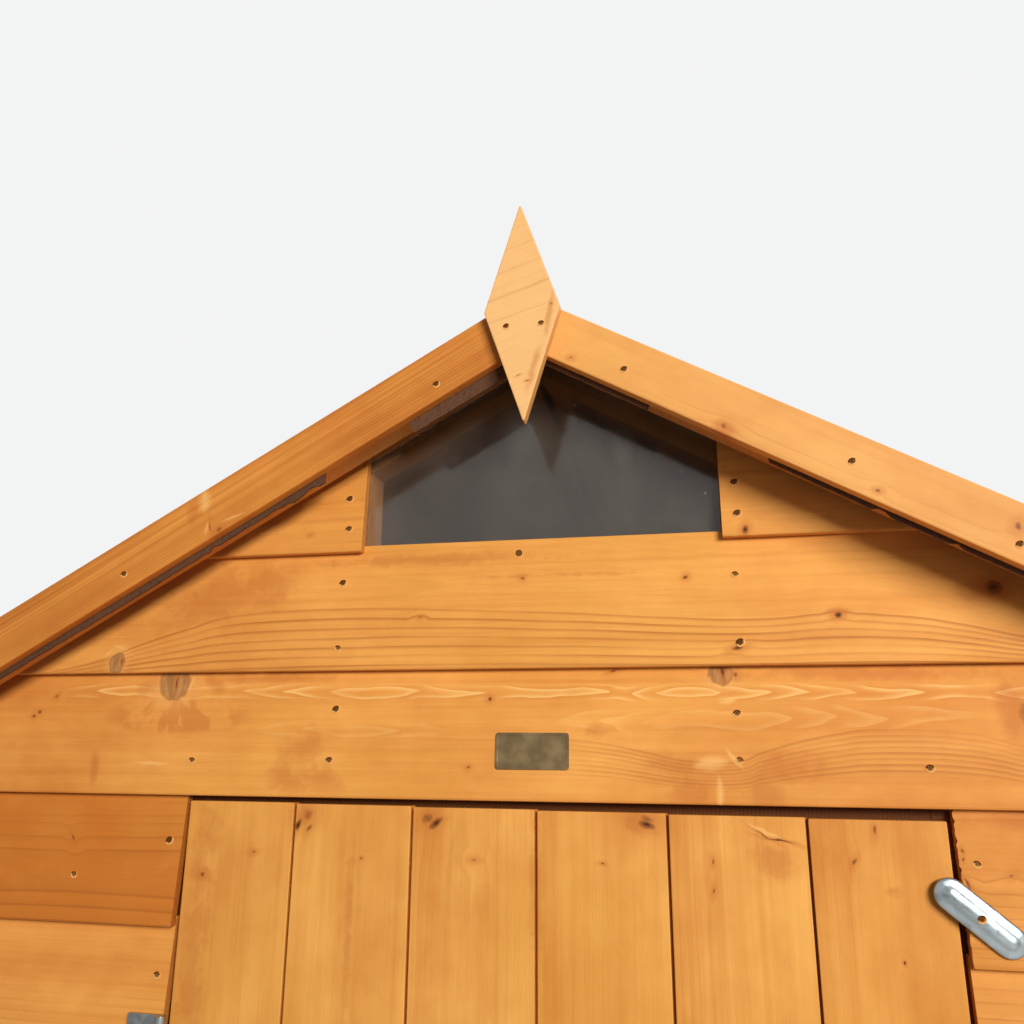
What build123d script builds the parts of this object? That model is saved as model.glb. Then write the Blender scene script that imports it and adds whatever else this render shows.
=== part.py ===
"""Wooden garden shed with an apex roof, one ledged and braced door and a glazed gable.

The shed stands on level ground with its origin under the middle of its floor.
+Z is up, the door is in the gable that faces -Y, and sizes are in millimetres.
Each wall is a frame of sawn battens with lapped boards nailed outside it.
"""

import os
from math import cos, radians, sin, tan

from build123d import *

os.makedirs("parts", exist_ok=True)


def save(builder, label):
    """Names a finished piece and writes it to its own STEP file."""
    builder.part.label = label
    export_step(builder.part, f"parts/{label}.step")


# Driving dimensions of the building
frame_width = 1484.0
frame_length = 2090.0
roof_pitch = 29.5

half_width = frame_width / 2
half_length = frame_length / 2
slope = tan(radians(roof_pitch))
plumb = 1 / cos(radians(roof_pitch))

# Floor: a boarded deck on cross bearers
bearer_height = 38.0
bearer_width = 44.0
bearer_count = 5
floor_thickness = 12.0
floor_top = bearer_height + floor_thickness

# Sawn battens of the wall frames
batten = 28.0
frame_depth = 38.0
post_width = 38.0
inner_half_width = half_width - frame_depth
inner_half_length = half_length - frame_depth

# Lapped cladding
board_thickness = 9.0
board_cover = 116.0
board_lap = 8.0
cladding_bottom = 30.0
head_course_count = 13
board_lean = board_thickness / board_cover
cladding_proud = 2 * board_thickness + board_lean * board_lap
door_head = cladding_bottom + head_course_count * board_cover

# The side frames end just above the door head
eaves_above_head = 30.0
eaves_height = door_head + eaves_above_head

# Door leaf and its opening
door_width = 672.0
door_side_gap = 5.0
door_board_cover = 114.0
door_board_thickness = 12.0
door_board_gap = 1.0
tongue_length = 6.0
tongue_thickness = 4.0
tongue_clearance = 0.5
door_bottom = 42.0
head_gap_at_hinges = 5.0
head_gap_at_latch = 10.0
door_back_clearance = 1.0
door_stop_lap = 9.0
ledge_height = 95.0
ledge_thickness = 20.0
ledge_side_clearance = 7.0
brace_width = 70.0

door_half = door_width / 2
opening_half = door_half + door_side_gap
stop_half = door_half - door_stop_lap

# Gable window, whose width is a share of the gable's width at the sill
window_share = 0.469
pane_thickness = 3.0
pane_cover = 10.0
pane_clearance = 0.3
sill_course_count = 2
header_height = 38.0
header_above_head = 12.0
sill_rail_drop = 4.0

header_top = door_head + header_above_head
sill_board_top = door_head + sill_course_count * board_cover + board_lap
sill_rail_top = sill_board_top - sill_rail_drop
window_half = window_share * (half_width - (sill_board_top - eaves_height) / slope)

# Roof
deck_thickness = 11.0
eaves_overhang = 45.0
verge_overhang = 39.0
felt_thickness = 3.0
felt_drop_below_barge = 4.5
ridge_cap_reach = 150.0
ridge_cap_drop_below_barge = 10.0
barge_width = 48.0
barge_thickness = 12.0
barge_above_deck = 4.0
barge_past_eaves = 3.0
ridge_gap = 0.5
purlin_from_ridge = 400.0
ridge_batten_from_ridge = 20.0

# Finial, corner strips and metalwork
finial_height = 229.0
finial_width = 73.0
finial_thickness = 12.0
finial_corner_radius = 1.2
finial_below_barge_top = 22.8
finial_lean = 1.0
corner_strip_width = 45.0
corner_strip_thickness = 10.0

hinge_course_count = 2
hinge_sheet = 3.0
knuckle_radius = 4.5
pin_radius = 2.5
pin_clearance = 0.3
knuckle_end_gap = 0.5
hinge_plate_height = 90.0
hinge_plate_width = 34.0
strap_root_height = 36.0
strap_tip_height = 16.0
strap_length = 250.0
knuckle_plate_gap = 1.5

button_length = 75.0
button_width = 25.0
button_sheet = 2.5
button_rib_width = 12.0
button_rib_height = 2.5
button_boss_radius = 6.0
button_from_door = 14.0
button_above_lap = 37.0
button_face_clearance = 0.3
button_lean = 50.0

# Levels across the front, measured from the face of the studs
door_face = door_board_thickness + door_back_clearance
verge_half = half_length + cladding_proud + verge_overhang
barge_back = verge_half + felt_thickness
barge_face = barge_back + barge_thickness
eaves_half = half_width + cladding_proud + eaves_overhang
deck_run = eaves_half * plumb


def roof_height(x, below=0.0):
    """Height of the deck's underside at x, or of a line that far below it, square to the slope."""
    return eaves_height + (half_width - abs(x)) * slope - below * plumb


ridge_height = roof_height(0)
right_slope = Plane(
    origin=(0, 0, ridge_height),
    x_dir=(cos(radians(roof_pitch)), 0, -sin(radians(roof_pitch))),
    z_dir=(0, -1, 0),
)


def gable_outline(half, bottom=0.0, below=0.0, mode=Mode.ADD):
    """Adds the outline of a gable to the sketch, from a level bottom up to the roof slopes."""
    Polygon(
        (-half, bottom),
        (half, bottom),
        (half, roof_height(half, below)),
        (0, roof_height(0, below)),
        (-half, roof_height(half, below)),
        align=None,
        mode=mode,
    )


def trim_under_roof(half, below=0.0):
    """Cuts the part being built off at the roof slopes."""
    with BuildSketch(Plane.XZ) as outline:
        gable_outline(half, 0, below)
    extrude(outline.sketch, amount=2 * half_length, both=True, mode=Mode.INTERSECT)


def lapped_courses(first, count, outward, face):
    """Adds the section of lapped boards to the sketch: first course, number of courses, side and stud face."""

    def point(out, height):
        return (outward * (face + out), height)

    bottoms = [cladding_bottom + (first + n) * board_cover for n in range(count)]
    outside = []
    inside = []
    for bottom in bottoms:
        lapped_top = bottom + board_cover + board_lap
        outside.append(point(cladding_proud, bottom))
        if bottom != bottoms[-1]:
            outside.append(point(cladding_proud - board_thickness, bottom + board_cover))
            inside.append(point(0, lapped_top))
            inside.append(point(board_thickness, lapped_top))
    top = bottoms[-1] + board_cover + board_lap
    outside.append(point(board_thickness, top))
    inside.append(point(0, top))
    foot = point(cladding_proud - board_thickness, bottoms[0])
    Polygon(*outside, *reversed(inside), foot, align=None)


def face_out(height):
    """How far the boards' outer face stands out from the studs at a height on a wall."""
    above_lap = (height - cladding_bottom) % board_cover
    return cladding_proud - board_lean * above_lap


# Floor bearers, laid across the shed
bearer_pitch = (frame_length - bearer_width) / (bearer_count - 1)
with BuildPart() as floor_bearers:
    with GridLocations(0, bearer_pitch, 1, bearer_count):
        Box(
            frame_width,
            bearer_width,
            bearer_height,
            align=(Align.CENTER, Align.CENTER, Align.MIN),
        )
save(floor_bearers, "floor_bearers")

with BuildPart() as floor_boards:
    with Locations((0, 0, bearer_height)):
        Box(
            frame_width,
            frame_length,
            floor_thickness,
            align=(Align.CENTER, Align.CENTER, Align.MIN),
        )
save(floor_boards, "floor_boards")

# Front cladding beside the door, up to the door head
side_of_door = half_width - opening_half
for side, name in ((-1, "front_cladding_left"), (1, "front_cladding_right")):
    with BuildPart() as front_side_cladding:
        with BuildSketch(Plane.YZ.offset(side * opening_half)):
            lapped_courses(0, head_course_count, -1, half_length)
        extrude(amount=side * side_of_door)
    save(front_side_cladding, name)

# Whole boards over the door: the lintel board, then the board under the window
for course, name in ((0, "lintel_board"), (1, "sill_board")):
    with BuildPart() as gable_course:
        with BuildSketch(Plane.YZ):
            lapped_courses(head_course_count + course, 1, -1, half_length)
        extrude(amount=half_width, both=True)
        trim_under_roof(half_width)
    save(gable_course, name)

# Short boards either side of the gable window
beside_window = half_width - window_half
for side, name in ((-1, "gable_board_left"), (1, "gable_board_right")):
    with BuildPart() as gable_piece:
        with BuildSketch(Plane.YZ.offset(side * window_half)):
            lapped_courses(head_course_count + sill_course_count, 1, -1, half_length)
        extrude(amount=side * beside_window)
        trim_under_roof(half_width)
    save(gable_piece, name)

# Rear gable, boarded from the ground to the ridge
courses_to_ridge = int((ridge_height - cladding_bottom) // board_cover) + 1
with BuildPart() as back_cladding:
    with BuildSketch(Plane.YZ):
        lapped_courses(0, courses_to_ridge, 1, half_length)
    extrude(amount=half_width, both=True)
    trim_under_roof(half_width)
save(back_cladding, "back_cladding")

# Side walls, boarded to the eaves and past the gable boards at both ends
courses_to_eaves = int((eaves_height - cladding_bottom) // board_cover) + 1
for side, name in ((-1, "left_cladding"), (1, "right_cladding")):
    with BuildPart() as side_cladding:
        with BuildSketch(Plane.XZ):
            lapped_courses(0, courses_to_eaves, side, half_width)
        extrude(amount=half_length + cladding_proud, both=True)
        trim_under_roof(half_width + cladding_proud)
    save(side_cladding, name)

# Corner strips over the ends of the side boards
strip_outer = half_width + cladding_proud + 1.0
strip_middle = strip_outer - corner_strip_width / 2
with BuildPart() as corner_strips:
    for end in (-1, 1):
        strip_plane = Plane.XZ.offset(-end * (half_length + cladding_proud))
        with BuildSketch(strip_plane):
            with Locations((-strip_middle, 0), (strip_middle, 0)):
                Rectangle(
                    corner_strip_width,
                    ridge_height,
                    align=(Align.CENTER, Align.MIN),
                )
            with Locations((0, 0)):
                Rectangle(
                    2 * strip_outer,
                    cladding_bottom,
                    align=(Align.CENTER, Align.MIN),
                    mode=Mode.SUBTRACT,
                )
        extrude(amount=-end * corner_strip_thickness)
    trim_under_roof(strip_outer)
save(corner_strips, "corner_strips")


def pane_outline(clearance=0.0):
    """Adds the window sheet's outline, or the wider rebate it lies in, to the sketch."""
    gable_outline(
        window_half + pane_cover + clearance,
        sill_rail_top - 1.5 * pane_cover - clearance,
        batten - pane_cover - clearance,
    )


def cut_pane_rebate():
    """Cuts the shallow rebate for the window sheet into the front of the part being built."""
    with BuildSketch(Plane.XZ.offset(half_length)) as rebate:
        pane_outline(pane_clearance)
    extrude(rebate.sketch, amount=-(pane_thickness + pane_clearance), mode=Mode.SUBTRACT)


# Front frame: corner studs and door posts, cut to the underside of the rafters
with BuildPart() as front_posts:
    with BuildSketch(Plane.XY.offset(floor_top)):
        post_y = -half_length + frame_depth / 2
        corner_x = half_width - batten / 2
        post_x = stop_half + post_width / 2
        with Locations((-corner_x, post_y), (corner_x, post_y)):
            Rectangle(batten, frame_depth)
        with Locations((-post_x, post_y), (post_x, post_y)):
            Rectangle(post_width, frame_depth)
    extrude(amount=ridge_height)
    trim_under_roof(half_width, batten)
save(front_posts, "front_posts")

# Front rails: two at the floor, the door header and the window's sill rail
post_outer = stop_half + post_width
rail_length = half_width - batten - post_outer
rail_x = post_outer + rail_length / 2
with BuildPart() as front_rails:
    with BuildSketch(Plane.XZ.offset(half_length)):
        with Locations((-rail_x, floor_top), (rail_x, floor_top)):
            Rectangle(rail_length, batten, align=(Align.CENTER, Align.MIN))
        with Locations((0, header_top)):
            Rectangle(2 * stop_half, header_height, align=(Align.CENTER, Align.MAX))
        with Locations((0, sill_rail_top)):
            Rectangle(2 * window_half, batten, align=(Align.CENTER, Align.MAX))
    extrude(amount=-frame_depth)
    cut_pane_rebate()
save(front_rails, "front_rails")

# Window studs stand on the header and run up to the rafters
with BuildPart() as window_studs:
    with BuildSketch(Plane.XY.offset(header_top)):
        stud_x = window_half + batten / 2
        with Locations((-stud_x, post_y), (stud_x, post_y)):
            Rectangle(batten, frame_depth)
    extrude(amount=ridge_height - header_top)
    trim_under_roof(half_width, batten)
    cut_pane_rebate()
save(window_studs, "window_studs")

# Rafters close the top of each gable frame
for end, name in ((-1, "front_rafters"), (1, "back_rafters")):
    with BuildPart() as gable_rafters:
        with BuildSketch(Plane.XZ.offset(-end * half_length)):
            gable_outline(half_width)
            gable_outline(half_width + 1, -1, batten, Mode.SUBTRACT)
            Rectangle(2 * ridge_gap, 2 * ridge_height + 2, mode=Mode.SUBTRACT)
        extrude(amount=end * frame_depth)
        if end < 0:
            cut_pane_rebate()
    save(gable_rafters, name)

# Clear plastic sheet, held between the boards and the frame
with BuildPart() as window_pane:
    with BuildSketch(Plane.XZ.offset(half_length)):
        pane_outline()
    extrude(amount=-pane_thickness)
save(window_pane, "window_pane")

# Back frame
back_bay = (frame_width - 2 * batten) / 3
with BuildPart() as back_studs:
    back_y = half_length - frame_depth / 2
    with BuildSketch(Plane.XY.offset(floor_top)):
        with Locations((-corner_x, back_y), (corner_x, back_y)):
            Rectangle(batten, frame_depth)
    extrude(amount=ridge_height)
    with BuildSketch(Plane.XY.offset(floor_top + batten)):
        with Locations((-back_bay / 2, back_y), (back_bay / 2, back_y)):
            Rectangle(batten, frame_depth)
    extrude(amount=ridge_height)
    trim_under_roof(half_width, batten)
save(back_studs, "back_studs")

with BuildPart() as back_rail:
    with Locations((0, back_y, floor_top)):
        Box(
            frame_width - 2 * batten,
            frame_depth,
            batten,
            align=(Align.CENTER, Align.CENTER, Align.MIN),
        )
save(back_rail, "back_rail")

# Side frames: studs between a floor rail and a wall plate
side_stud_count = 5
side_stud_pitch = (2 * inner_half_length - batten) / (side_stud_count - 1)
stud_height = eaves_height - floor_top - 2 * batten
for side, wall in ((-1, "left"), (1, "right")):
    side_x = side * (half_width - frame_depth / 2)
    with BuildPart() as side_studs:
        with BuildSketch(Plane.XY.offset(floor_top + batten)):
            with Locations((side_x, 0)):
                with GridLocations(0, side_stud_pitch, 1, side_stud_count):
                    Rectangle(frame_depth, batten)
        extrude(amount=stud_height)
    save(side_studs, f"{wall}_studs")

    with BuildPart() as side_rails:
        with Locations((side_x, 0, floor_top), (side_x, 0, eaves_height - batten)):
            Box(
                frame_depth,
                2 * inner_half_length,
                batten,
                align=(Align.CENTER, Align.CENTER, Align.MIN),
            )
    save(side_rails, f"{wall}_rails")


def on_slope(along, above, length, height):
    """Adds a rectangle to a sketch on the roof slope, from its upper lower corner."""
    with Locations((along, above)):
        Rectangle(length, height, align=(Align.MIN, Align.MIN))


def cut_at_ridge():
    """Leaves only the right-hand side of the part being built, just short of the ridge line."""
    split(bisect_by=Plane.YZ.offset(ridge_gap), keep=Keep.TOP)


def save_pair(right, right_name, left_name):
    """Writes a right-hand piece and its mirror image."""
    with BuildPart() as left:
        mirror(right.part, about=Plane.YZ)
    save(right, right_name)
    save(left, left_name)


# Roof deck
with BuildPart() as roof_deck:
    with BuildSketch(right_slope):
        on_slope(-deck_thickness, 0, deck_run + deck_thickness, deck_thickness)
    extrude(amount=verge_half, both=True)
    cut_at_ridge()
save_pair(roof_deck, "roof_deck_right", "roof_deck_left")

# Battens under each deck: ridge, purlin, eaves and one at each verge
inner_batten_reach = inner_half_length - ridge_gap
with BuildPart() as roof_battens:
    with BuildSketch(right_slope):
        on_slope(ridge_batten_from_ridge, -batten, batten, batten)
        on_slope(purlin_from_ridge, -batten, batten, batten)
    extrude(amount=inner_batten_reach, both=True)
    with BuildSketch(right_slope):
        on_slope(deck_run - batten, -batten, batten, batten)
    extrude(amount=verge_half, both=True)
    for end in (-1, 1):
        with BuildSketch(right_slope.offset(end * verge_half)):
            on_slope(-batten, -batten, deck_run - ridge_gap, batten)
        extrude(amount=-end * batten)
    cut_at_ridge()
save_pair(roof_battens, "roof_battens_right", "roof_battens_left")

# Mineral felt, turned down over the eaves and behind the barge boards
felt_run = deck_run + felt_thickness
felt_top = deck_thickness + felt_thickness
barge_bottom = deck_thickness + barge_above_deck - barge_width
felt_foot = barge_bottom - felt_drop_below_barge
with BuildPart() as roof_felt:
    with BuildSketch(right_slope):
        on_slope(-batten, deck_thickness, felt_run + batten, felt_thickness)
        on_slope(deck_run, -batten, felt_thickness, batten + felt_top)
    extrude(amount=verge_half, both=True)
    for end in (-1, 1):
        with BuildSketch(right_slope.offset(end * verge_half)):
            on_slope(
                ridge_cap_reach + ridge_gap,
                felt_foot,
                felt_run - ridge_cap_reach - ridge_gap,
                felt_top - felt_foot,
            )
        extrude(amount=end * felt_thickness)
    cut_at_ridge()
save_pair(roof_felt, "roof_felt_right", "roof_felt_left")

# Ridge capping strip of felt over both slopes
cap_foot = barge_bottom - ridge_cap_drop_below_barge
with BuildPart() as ridge_cap:
    with BuildSketch(right_slope):
        on_slope(-batten, felt_top, ridge_cap_reach + batten, felt_thickness)
    extrude(amount=barge_back, both=True)
    for end in (-1, 1):
        with BuildSketch(right_slope.offset(end * verge_half)):
            on_slope(
                -2 * batten,
                cap_foot,
                ridge_cap_reach + 2 * batten,
                felt_top + felt_thickness - cap_foot,
            )
        extrude(amount=end * felt_thickness)
    split(bisect_by=Plane.YZ, keep=Keep.TOP)
    mirror(about=Plane.YZ)
save(ridge_cap, "ridge_felt_cap")

# Barge boards
barge_run = felt_run + barge_past_eaves
with BuildPart() as front_barge:
    with BuildSketch(right_slope.offset(barge_back)):
        on_slope(-barge_width, barge_bottom, barge_run + barge_width, barge_width)
    extrude(amount=barge_thickness)
    cut_at_ridge()
save_pair(front_barge, "barge_board_front_right", "barge_board_front_left")

with BuildPart() as back_barges:
    mirror(front_barge.part, about=Plane.XZ)
    mirror(about=Plane.YZ)
save(back_barges, "barge_boards_back")

# Diamond finials over the mitre of the barge boards
barge_peak = roof_height(0, -deck_thickness - barge_above_deck)
finial_centre = barge_peak - finial_below_barge_top
for end, name in ((-1, "finial_front"), (1, "finial_back")):
    with BuildPart() as finial:
        with BuildSketch(Plane.XZ.offset(-end * barge_face)) as diamond:
            with Locations((0, finial_centre)):
                Polygon(
                    (-finial_width / 2, 0),
                    (0, -finial_height / 2),
                    (finial_width / 2, 0),
                    (0, finial_height / 2),
                    rotation=finial_lean,
                    align=None,
                )
            fillet(diamond.vertices(), finial_corner_radius)
        extrude(amount=-end * finial_thickness)
    save(finial, name)

# Door leaf: six tongued boards, with the head cut a little out of square
door_board_count = round(door_width / door_board_cover)
end_board_trim = (door_board_count * door_board_cover - door_width) / 2
door_front = -half_length - door_face
door_back = -half_length - door_back_clearance
head_at_hinges = door_head - head_gap_at_hinges
head_at_latch = door_head - head_gap_at_latch
with BuildPart() as door_boards:
    with BuildSketch(Plane.XY.offset(door_bottom)):
        middle = (door_front + door_back) / 2
        for n in range(door_board_count):
            first, last = n == 0, n == door_board_count - 1
            left = -door_half if first else -door_half - end_board_trim + n * door_board_cover
            right = door_half if last else -door_half - end_board_trim + (n + 1) * door_board_cover
            left += 0 if first else door_board_gap / 2
            right -= 0 if last else door_board_gap / 2
            with Locations(((left + right) / 2, middle)):
                Rectangle(right - left, door_board_thickness)
            if not last:
                with Locations((right, middle)):
                    Rectangle(
                        tongue_length + door_board_gap,
                        tongue_thickness,
                        align=(Align.MIN, Align.CENTER),
                    )
            if not first:
                groove = tongue_length + tongue_clearance
                tongue_back = left - door_board_gap
                with Locations((tongue_back, middle)):
                    Rectangle(
                        groove + door_board_gap,
                        tongue_thickness + 2 * tongue_clearance,
                        align=(Align.MIN, Align.CENTER),
                        mode=Mode.SUBTRACT,
                    )
                with Locations((tongue_back, middle)):
                    Rectangle(
                        tongue_length + door_board_gap,
                        tongue_thickness,
                        align=(Align.MIN, Align.CENTER),
                    )
    extrude(amount=door_head - door_bottom)
    with BuildSketch(Plane.XZ.offset(half_length)):
        Polygon(
            (-door_half, head_at_hinges),
            (door_half, head_at_latch),
            (door_half, door_head + 1),
            (-door_half, door_head + 1),
            align=None,
        )
    extrude(amount=door_face, both=True, mode=Mode.SUBTRACT)
save(door_boards, "door_boards")

# Ledges at the hinge heights and half-way, with braces rising from the hinge side
hinge_heights = (
    cladding_bottom + hinge_course_count * board_cover,
    door_head - hinge_course_count * board_cover,
)
ledge_heights = (hinge_heights[0], sum(hinge_heights) / 2, hinge_heights[1])
ledge_half = stop_half - ledge_side_clearance
with BuildPart() as door_ledges:
    with BuildSketch(Plane.XZ.offset(-door_back)):
        with Locations(*((0, height) for height in ledge_heights)):
            Rectangle(2 * ledge_half, ledge_height)
    extrude(amount=-ledge_thickness)
save(door_ledges, "door_ledges")

with BuildPart() as door_braces:
    for low, high in zip(ledge_heights, ledge_heights[1:]):
        bay_bottom = low + ledge_height / 2
        bay_top = high - ledge_height / 2
        with BuildSketch(Plane.XZ.offset(-door_back)):
            Polygon(
                (-ledge_half, bay_bottom),
                (-ledge_half + brace_width, bay_bottom),
                (ledge_half, bay_top),
                (ledge_half - brace_width, bay_top),
                align=None,
            )
        extrude(amount=-ledge_thickness)
save(door_braces, "door_braces")

# Strap hinges: the plate and pin stay on the wall, and the cranked strap turns with the door
hinge_x = -(door_half + door_side_gap / 2)
plate_back = -half_length - cladding_proud
pin_y = plate_back - knuckle_radius - pin_clearance
mid_knuckle = strap_root_height / 2
with BuildPart() as hinge_plates:
    for height in hinge_heights:
        plate_middle = hinge_x - hinge_plate_width / 2
        with Locations((plate_middle, plate_back - hinge_sheet / 2, height)):
            Box(hinge_plate_width, hinge_sheet, hinge_plate_height)
        with Locations((hinge_x, pin_y, height)):
            Cylinder(knuckle_radius, hinge_plate_height)
            Cylinder(
                knuckle_radius + knuckle_plate_gap,
                strap_root_height + 2 * knuckle_end_gap,
                mode=Mode.SUBTRACT,
            )
            Cylinder(pin_radius, hinge_plate_height)
save(hinge_plates, "hinge_plates")

strap_plane = door_front - hinge_sheet
root_back = pin_y + knuckle_radius
with BuildPart() as hinge_straps:
    for height in hinge_heights:
        with BuildSketch(Plane.XY.offset(height)):
            crank_start = hinge_x + knuckle_radius + pin_clearance
            crank_end = crank_start + (strap_plane - root_back + hinge_sheet)
            strap_end = -door_half + strap_length
            Polygon(
                (hinge_x, root_back - hinge_sheet),
                (crank_start + 1, root_back - hinge_sheet),
                (crank_end + 1, strap_plane),
                (strap_end, strap_plane),
                (strap_end, door_front),
                (crank_end, door_front),
                (crank_start, root_back),
                (hinge_x, root_back),
                align=None,
            )
            with Locations((hinge_x, pin_y)):
                Circle(knuckle_radius)
                Circle(pin_radius + pin_clearance, mode=Mode.SUBTRACT)
        extrude(amount=strap_root_height / 2, both=True)
    with BuildSketch(Plane.XZ.offset(-door_front)):
        for height in hinge_heights:
            Polygon(
                (hinge_x - knuckle_radius, height - mid_knuckle),
                (crank_end, height - mid_knuckle),
                (strap_end - strap_tip_height / 2, height - strap_tip_height / 2),
                (strap_end - strap_tip_height / 2, height + strap_tip_height / 2),
                (crank_end, height + mid_knuckle),
                (hinge_x - knuckle_radius, height + mid_knuckle),
                align=None,
            )
            with Locations((strap_end - strap_tip_height / 2, height)):
                Circle(strap_tip_height / 2)
    extrude(amount=-2 * door_front, both=True, mode=Mode.INTERSECT)
save(hinge_straps, "hinge_straps")

# Turn buttons on the latch side: the upper one leans over the door's edge, the lower one stands clear
button_x = door_half + button_from_door
button_places = (
    ("turn_button_lower", cladding_bottom + board_cover + button_above_lap, 0.0),
    ("turn_button_upper", door_head - board_cover + button_above_lap, button_lean),
)
button_back = cladding_proud + button_face_clearance
for name, height, lean in button_places:
    boss_foot = face_out(height - button_boss_radius) + button_face_clearance
    with BuildPart() as turn_button:
        with BuildSketch(Plane.XZ.offset(half_length + button_back)):
            with Locations((button_x, height)):
                SlotOverall(button_length, button_width, rotation=90 + lean)
        extrude(amount=button_sheet)
        with BuildSketch(Plane.XZ.offset(half_length + button_back + button_sheet)):
            with Locations((button_x, height)):
                rib_length = button_length - button_width + button_rib_width
                SlotOverall(rib_length, button_rib_width, rotation=90 + lean)
        extrude(amount=button_rib_height, taper=30)
        with BuildSketch(Plane.XZ.offset(half_length + boss_foot)):
            with Locations((button_x, height)):
                Circle(button_boss_radius)
        extrude(amount=button_back - boss_foot)
    save(turn_button, name)
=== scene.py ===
from functools import partialmethod
from math import atan2, ceil, copysign, cos, pi, radians, sin, tan
from random import Random

import bmesh
import bpy
from mathutils import Matrix, Vector


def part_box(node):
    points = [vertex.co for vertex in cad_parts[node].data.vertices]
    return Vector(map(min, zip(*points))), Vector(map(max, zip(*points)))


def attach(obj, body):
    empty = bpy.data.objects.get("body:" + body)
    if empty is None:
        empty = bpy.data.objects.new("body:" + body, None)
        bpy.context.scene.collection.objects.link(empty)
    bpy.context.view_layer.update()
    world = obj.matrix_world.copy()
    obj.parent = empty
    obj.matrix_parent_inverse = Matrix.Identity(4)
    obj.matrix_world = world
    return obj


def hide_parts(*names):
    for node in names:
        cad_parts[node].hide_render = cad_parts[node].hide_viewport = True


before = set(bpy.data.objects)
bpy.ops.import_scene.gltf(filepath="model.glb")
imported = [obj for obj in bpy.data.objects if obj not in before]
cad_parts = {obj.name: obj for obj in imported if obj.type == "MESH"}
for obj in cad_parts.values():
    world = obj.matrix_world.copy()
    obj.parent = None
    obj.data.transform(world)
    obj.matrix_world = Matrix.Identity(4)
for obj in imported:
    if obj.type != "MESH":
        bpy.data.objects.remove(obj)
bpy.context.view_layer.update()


# Floor bearers.
# Five lengths of sawn softwood laid across the shed, dipped in the same honey-coloured
# treatment as the rest. Their ends show under the side walls.
class Graph:
    """The nodes of one tree."""

    def __init__(self, tree):
        self.tree = tree

    def node(self, kind, **settings):
        made = self.tree.nodes.new(kind)
        for name, value in settings.items():
            setattr(made, name, value)
        return made

    def feed(self, socket, value):
        """Links a field, or sets a value, where three numbers are a colour from 0 to 255."""
        if isinstance(value, Field):
            self.tree.links.new(value.socket, socket)
        elif value is not None:
            photo_colour = socket.type == "RGBA" and len(value) == 3
            socket.default_value = linear_light(*value) if photo_colour else value

    def made(self, kind, inputs=(), output=0, **settings):
        """One output of a new node, with its inputs fed by name or number."""
        made = self.node(kind, **settings)
        for name, value in dict(inputs).items():
            self.feed(made.inputs[name], value)
        return Field(self, made.outputs[output])


class Field:
    """A number or a vector that varies over a surface, as one socket of a graph."""

    def __init__(self, graph, socket):
        self.graph, self.socket = graph, socket

    def combined(self, operation, *others, **settings):
        """Works on values with a Math node, or a Vector Math node where one is a vector."""
        kind, values = "ShaderNodeMath", (self, *others)
        if any(isinstance(v, tuple) or isinstance(v, Field) and v.socket.type == "VECTOR" for v in values):
            kind = "ShaderNodeVectorMath"
            values = [(v,) * 3 if isinstance(v, (int, float)) else v for v in values]
        output = "Value" if operation in ("LENGTH", "DOT_PRODUCT") else 0
        return self.graph.made(kind, enumerate(values), output, operation=operation, **settings)

    __add__ = partialmethod(combined, "ADD")
    __sub__ = partialmethod(combined, "SUBTRACT")
    __mul__ = partialmethod(combined, "MULTIPLY")
    __truediv__ = partialmethod(combined, "DIVIDE")
    __pow__ = partialmethod(combined, "POWER")
    __abs__ = partialmethod(combined, "ABSOLUTE")
    most = partialmethod(combined, "MAXIMUM")
    whole = partialmethod(combined, "FLOOR")
    part = partialmethod(combined, "FRACT")
    wave = partialmethod(combined, "SINE")
    angle = partialmethod(combined, "ARCTAN2")
    length = partialmethod(combined, "LENGTH")
    dot = partialmethod(combined, "DOT_PRODUCT")
    clamped = partialmethod(combined, "ADD", 0.0, use_clamp=True)

    def least(self, other):
        """The lesser of two values, where other may be None."""
        return self if other is None else self.combined("MINIMUM", other)

    def centred(self, spread):
        """A 0 to 1 value moved to run from -spread to +spread."""
        return self.combined("MULTIPLY_ADD", 2 * spread, -spread)

    def split(self):
        made = self.graph.node("ShaderNodeSeparateXYZ")
        self.graph.feed(made.inputs[0], self)
        return [Field(self.graph, socket) for socket in made.outputs]

    def step(self, *limits):
        """A smooth step between low and high, from 0 to 1 or between two more numbers."""
        return self.graph.made(
            "ShaderNodeMapRange", enumerate((self, *limits)), "Result", interpolation_type="SMOOTHSTEP",
        )

    def band(self, low, peak, fall, high):
        """A smooth step up from low to peak and down again from fall to high."""
        return self.step(low, peak) * self.step(fall, high, 1.0, 0.0)

    def curve(self, points):
        """A smooth line through (place, height) points of any size, read at this value."""
        start, length = points[0][0], points[-1][0] - points[0][0]
        bottom = min(height for _, height in points)
        rise = max(height for _, height in points) - bottom
        made = self.graph.node("ShaderNodeFloatCurve")
        line = made.mapping.curves[0].points
        for n, (place, height) in enumerate(points):
            spot = (place - start) / length, (height - bottom) / rise
            if 0 < n < len(points) - 1:
                line.new(*spot)
            else:
                line[-1 if n else 0].location = spot
        made.mapping.update()
        self.graph.feed(made.inputs["Value"], (self - start).combined("DIVIDE", length, use_clamp=True))
        return Field(self.graph, made.outputs[0]).combined("MULTIPLY_ADD", rise, bottom)


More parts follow.
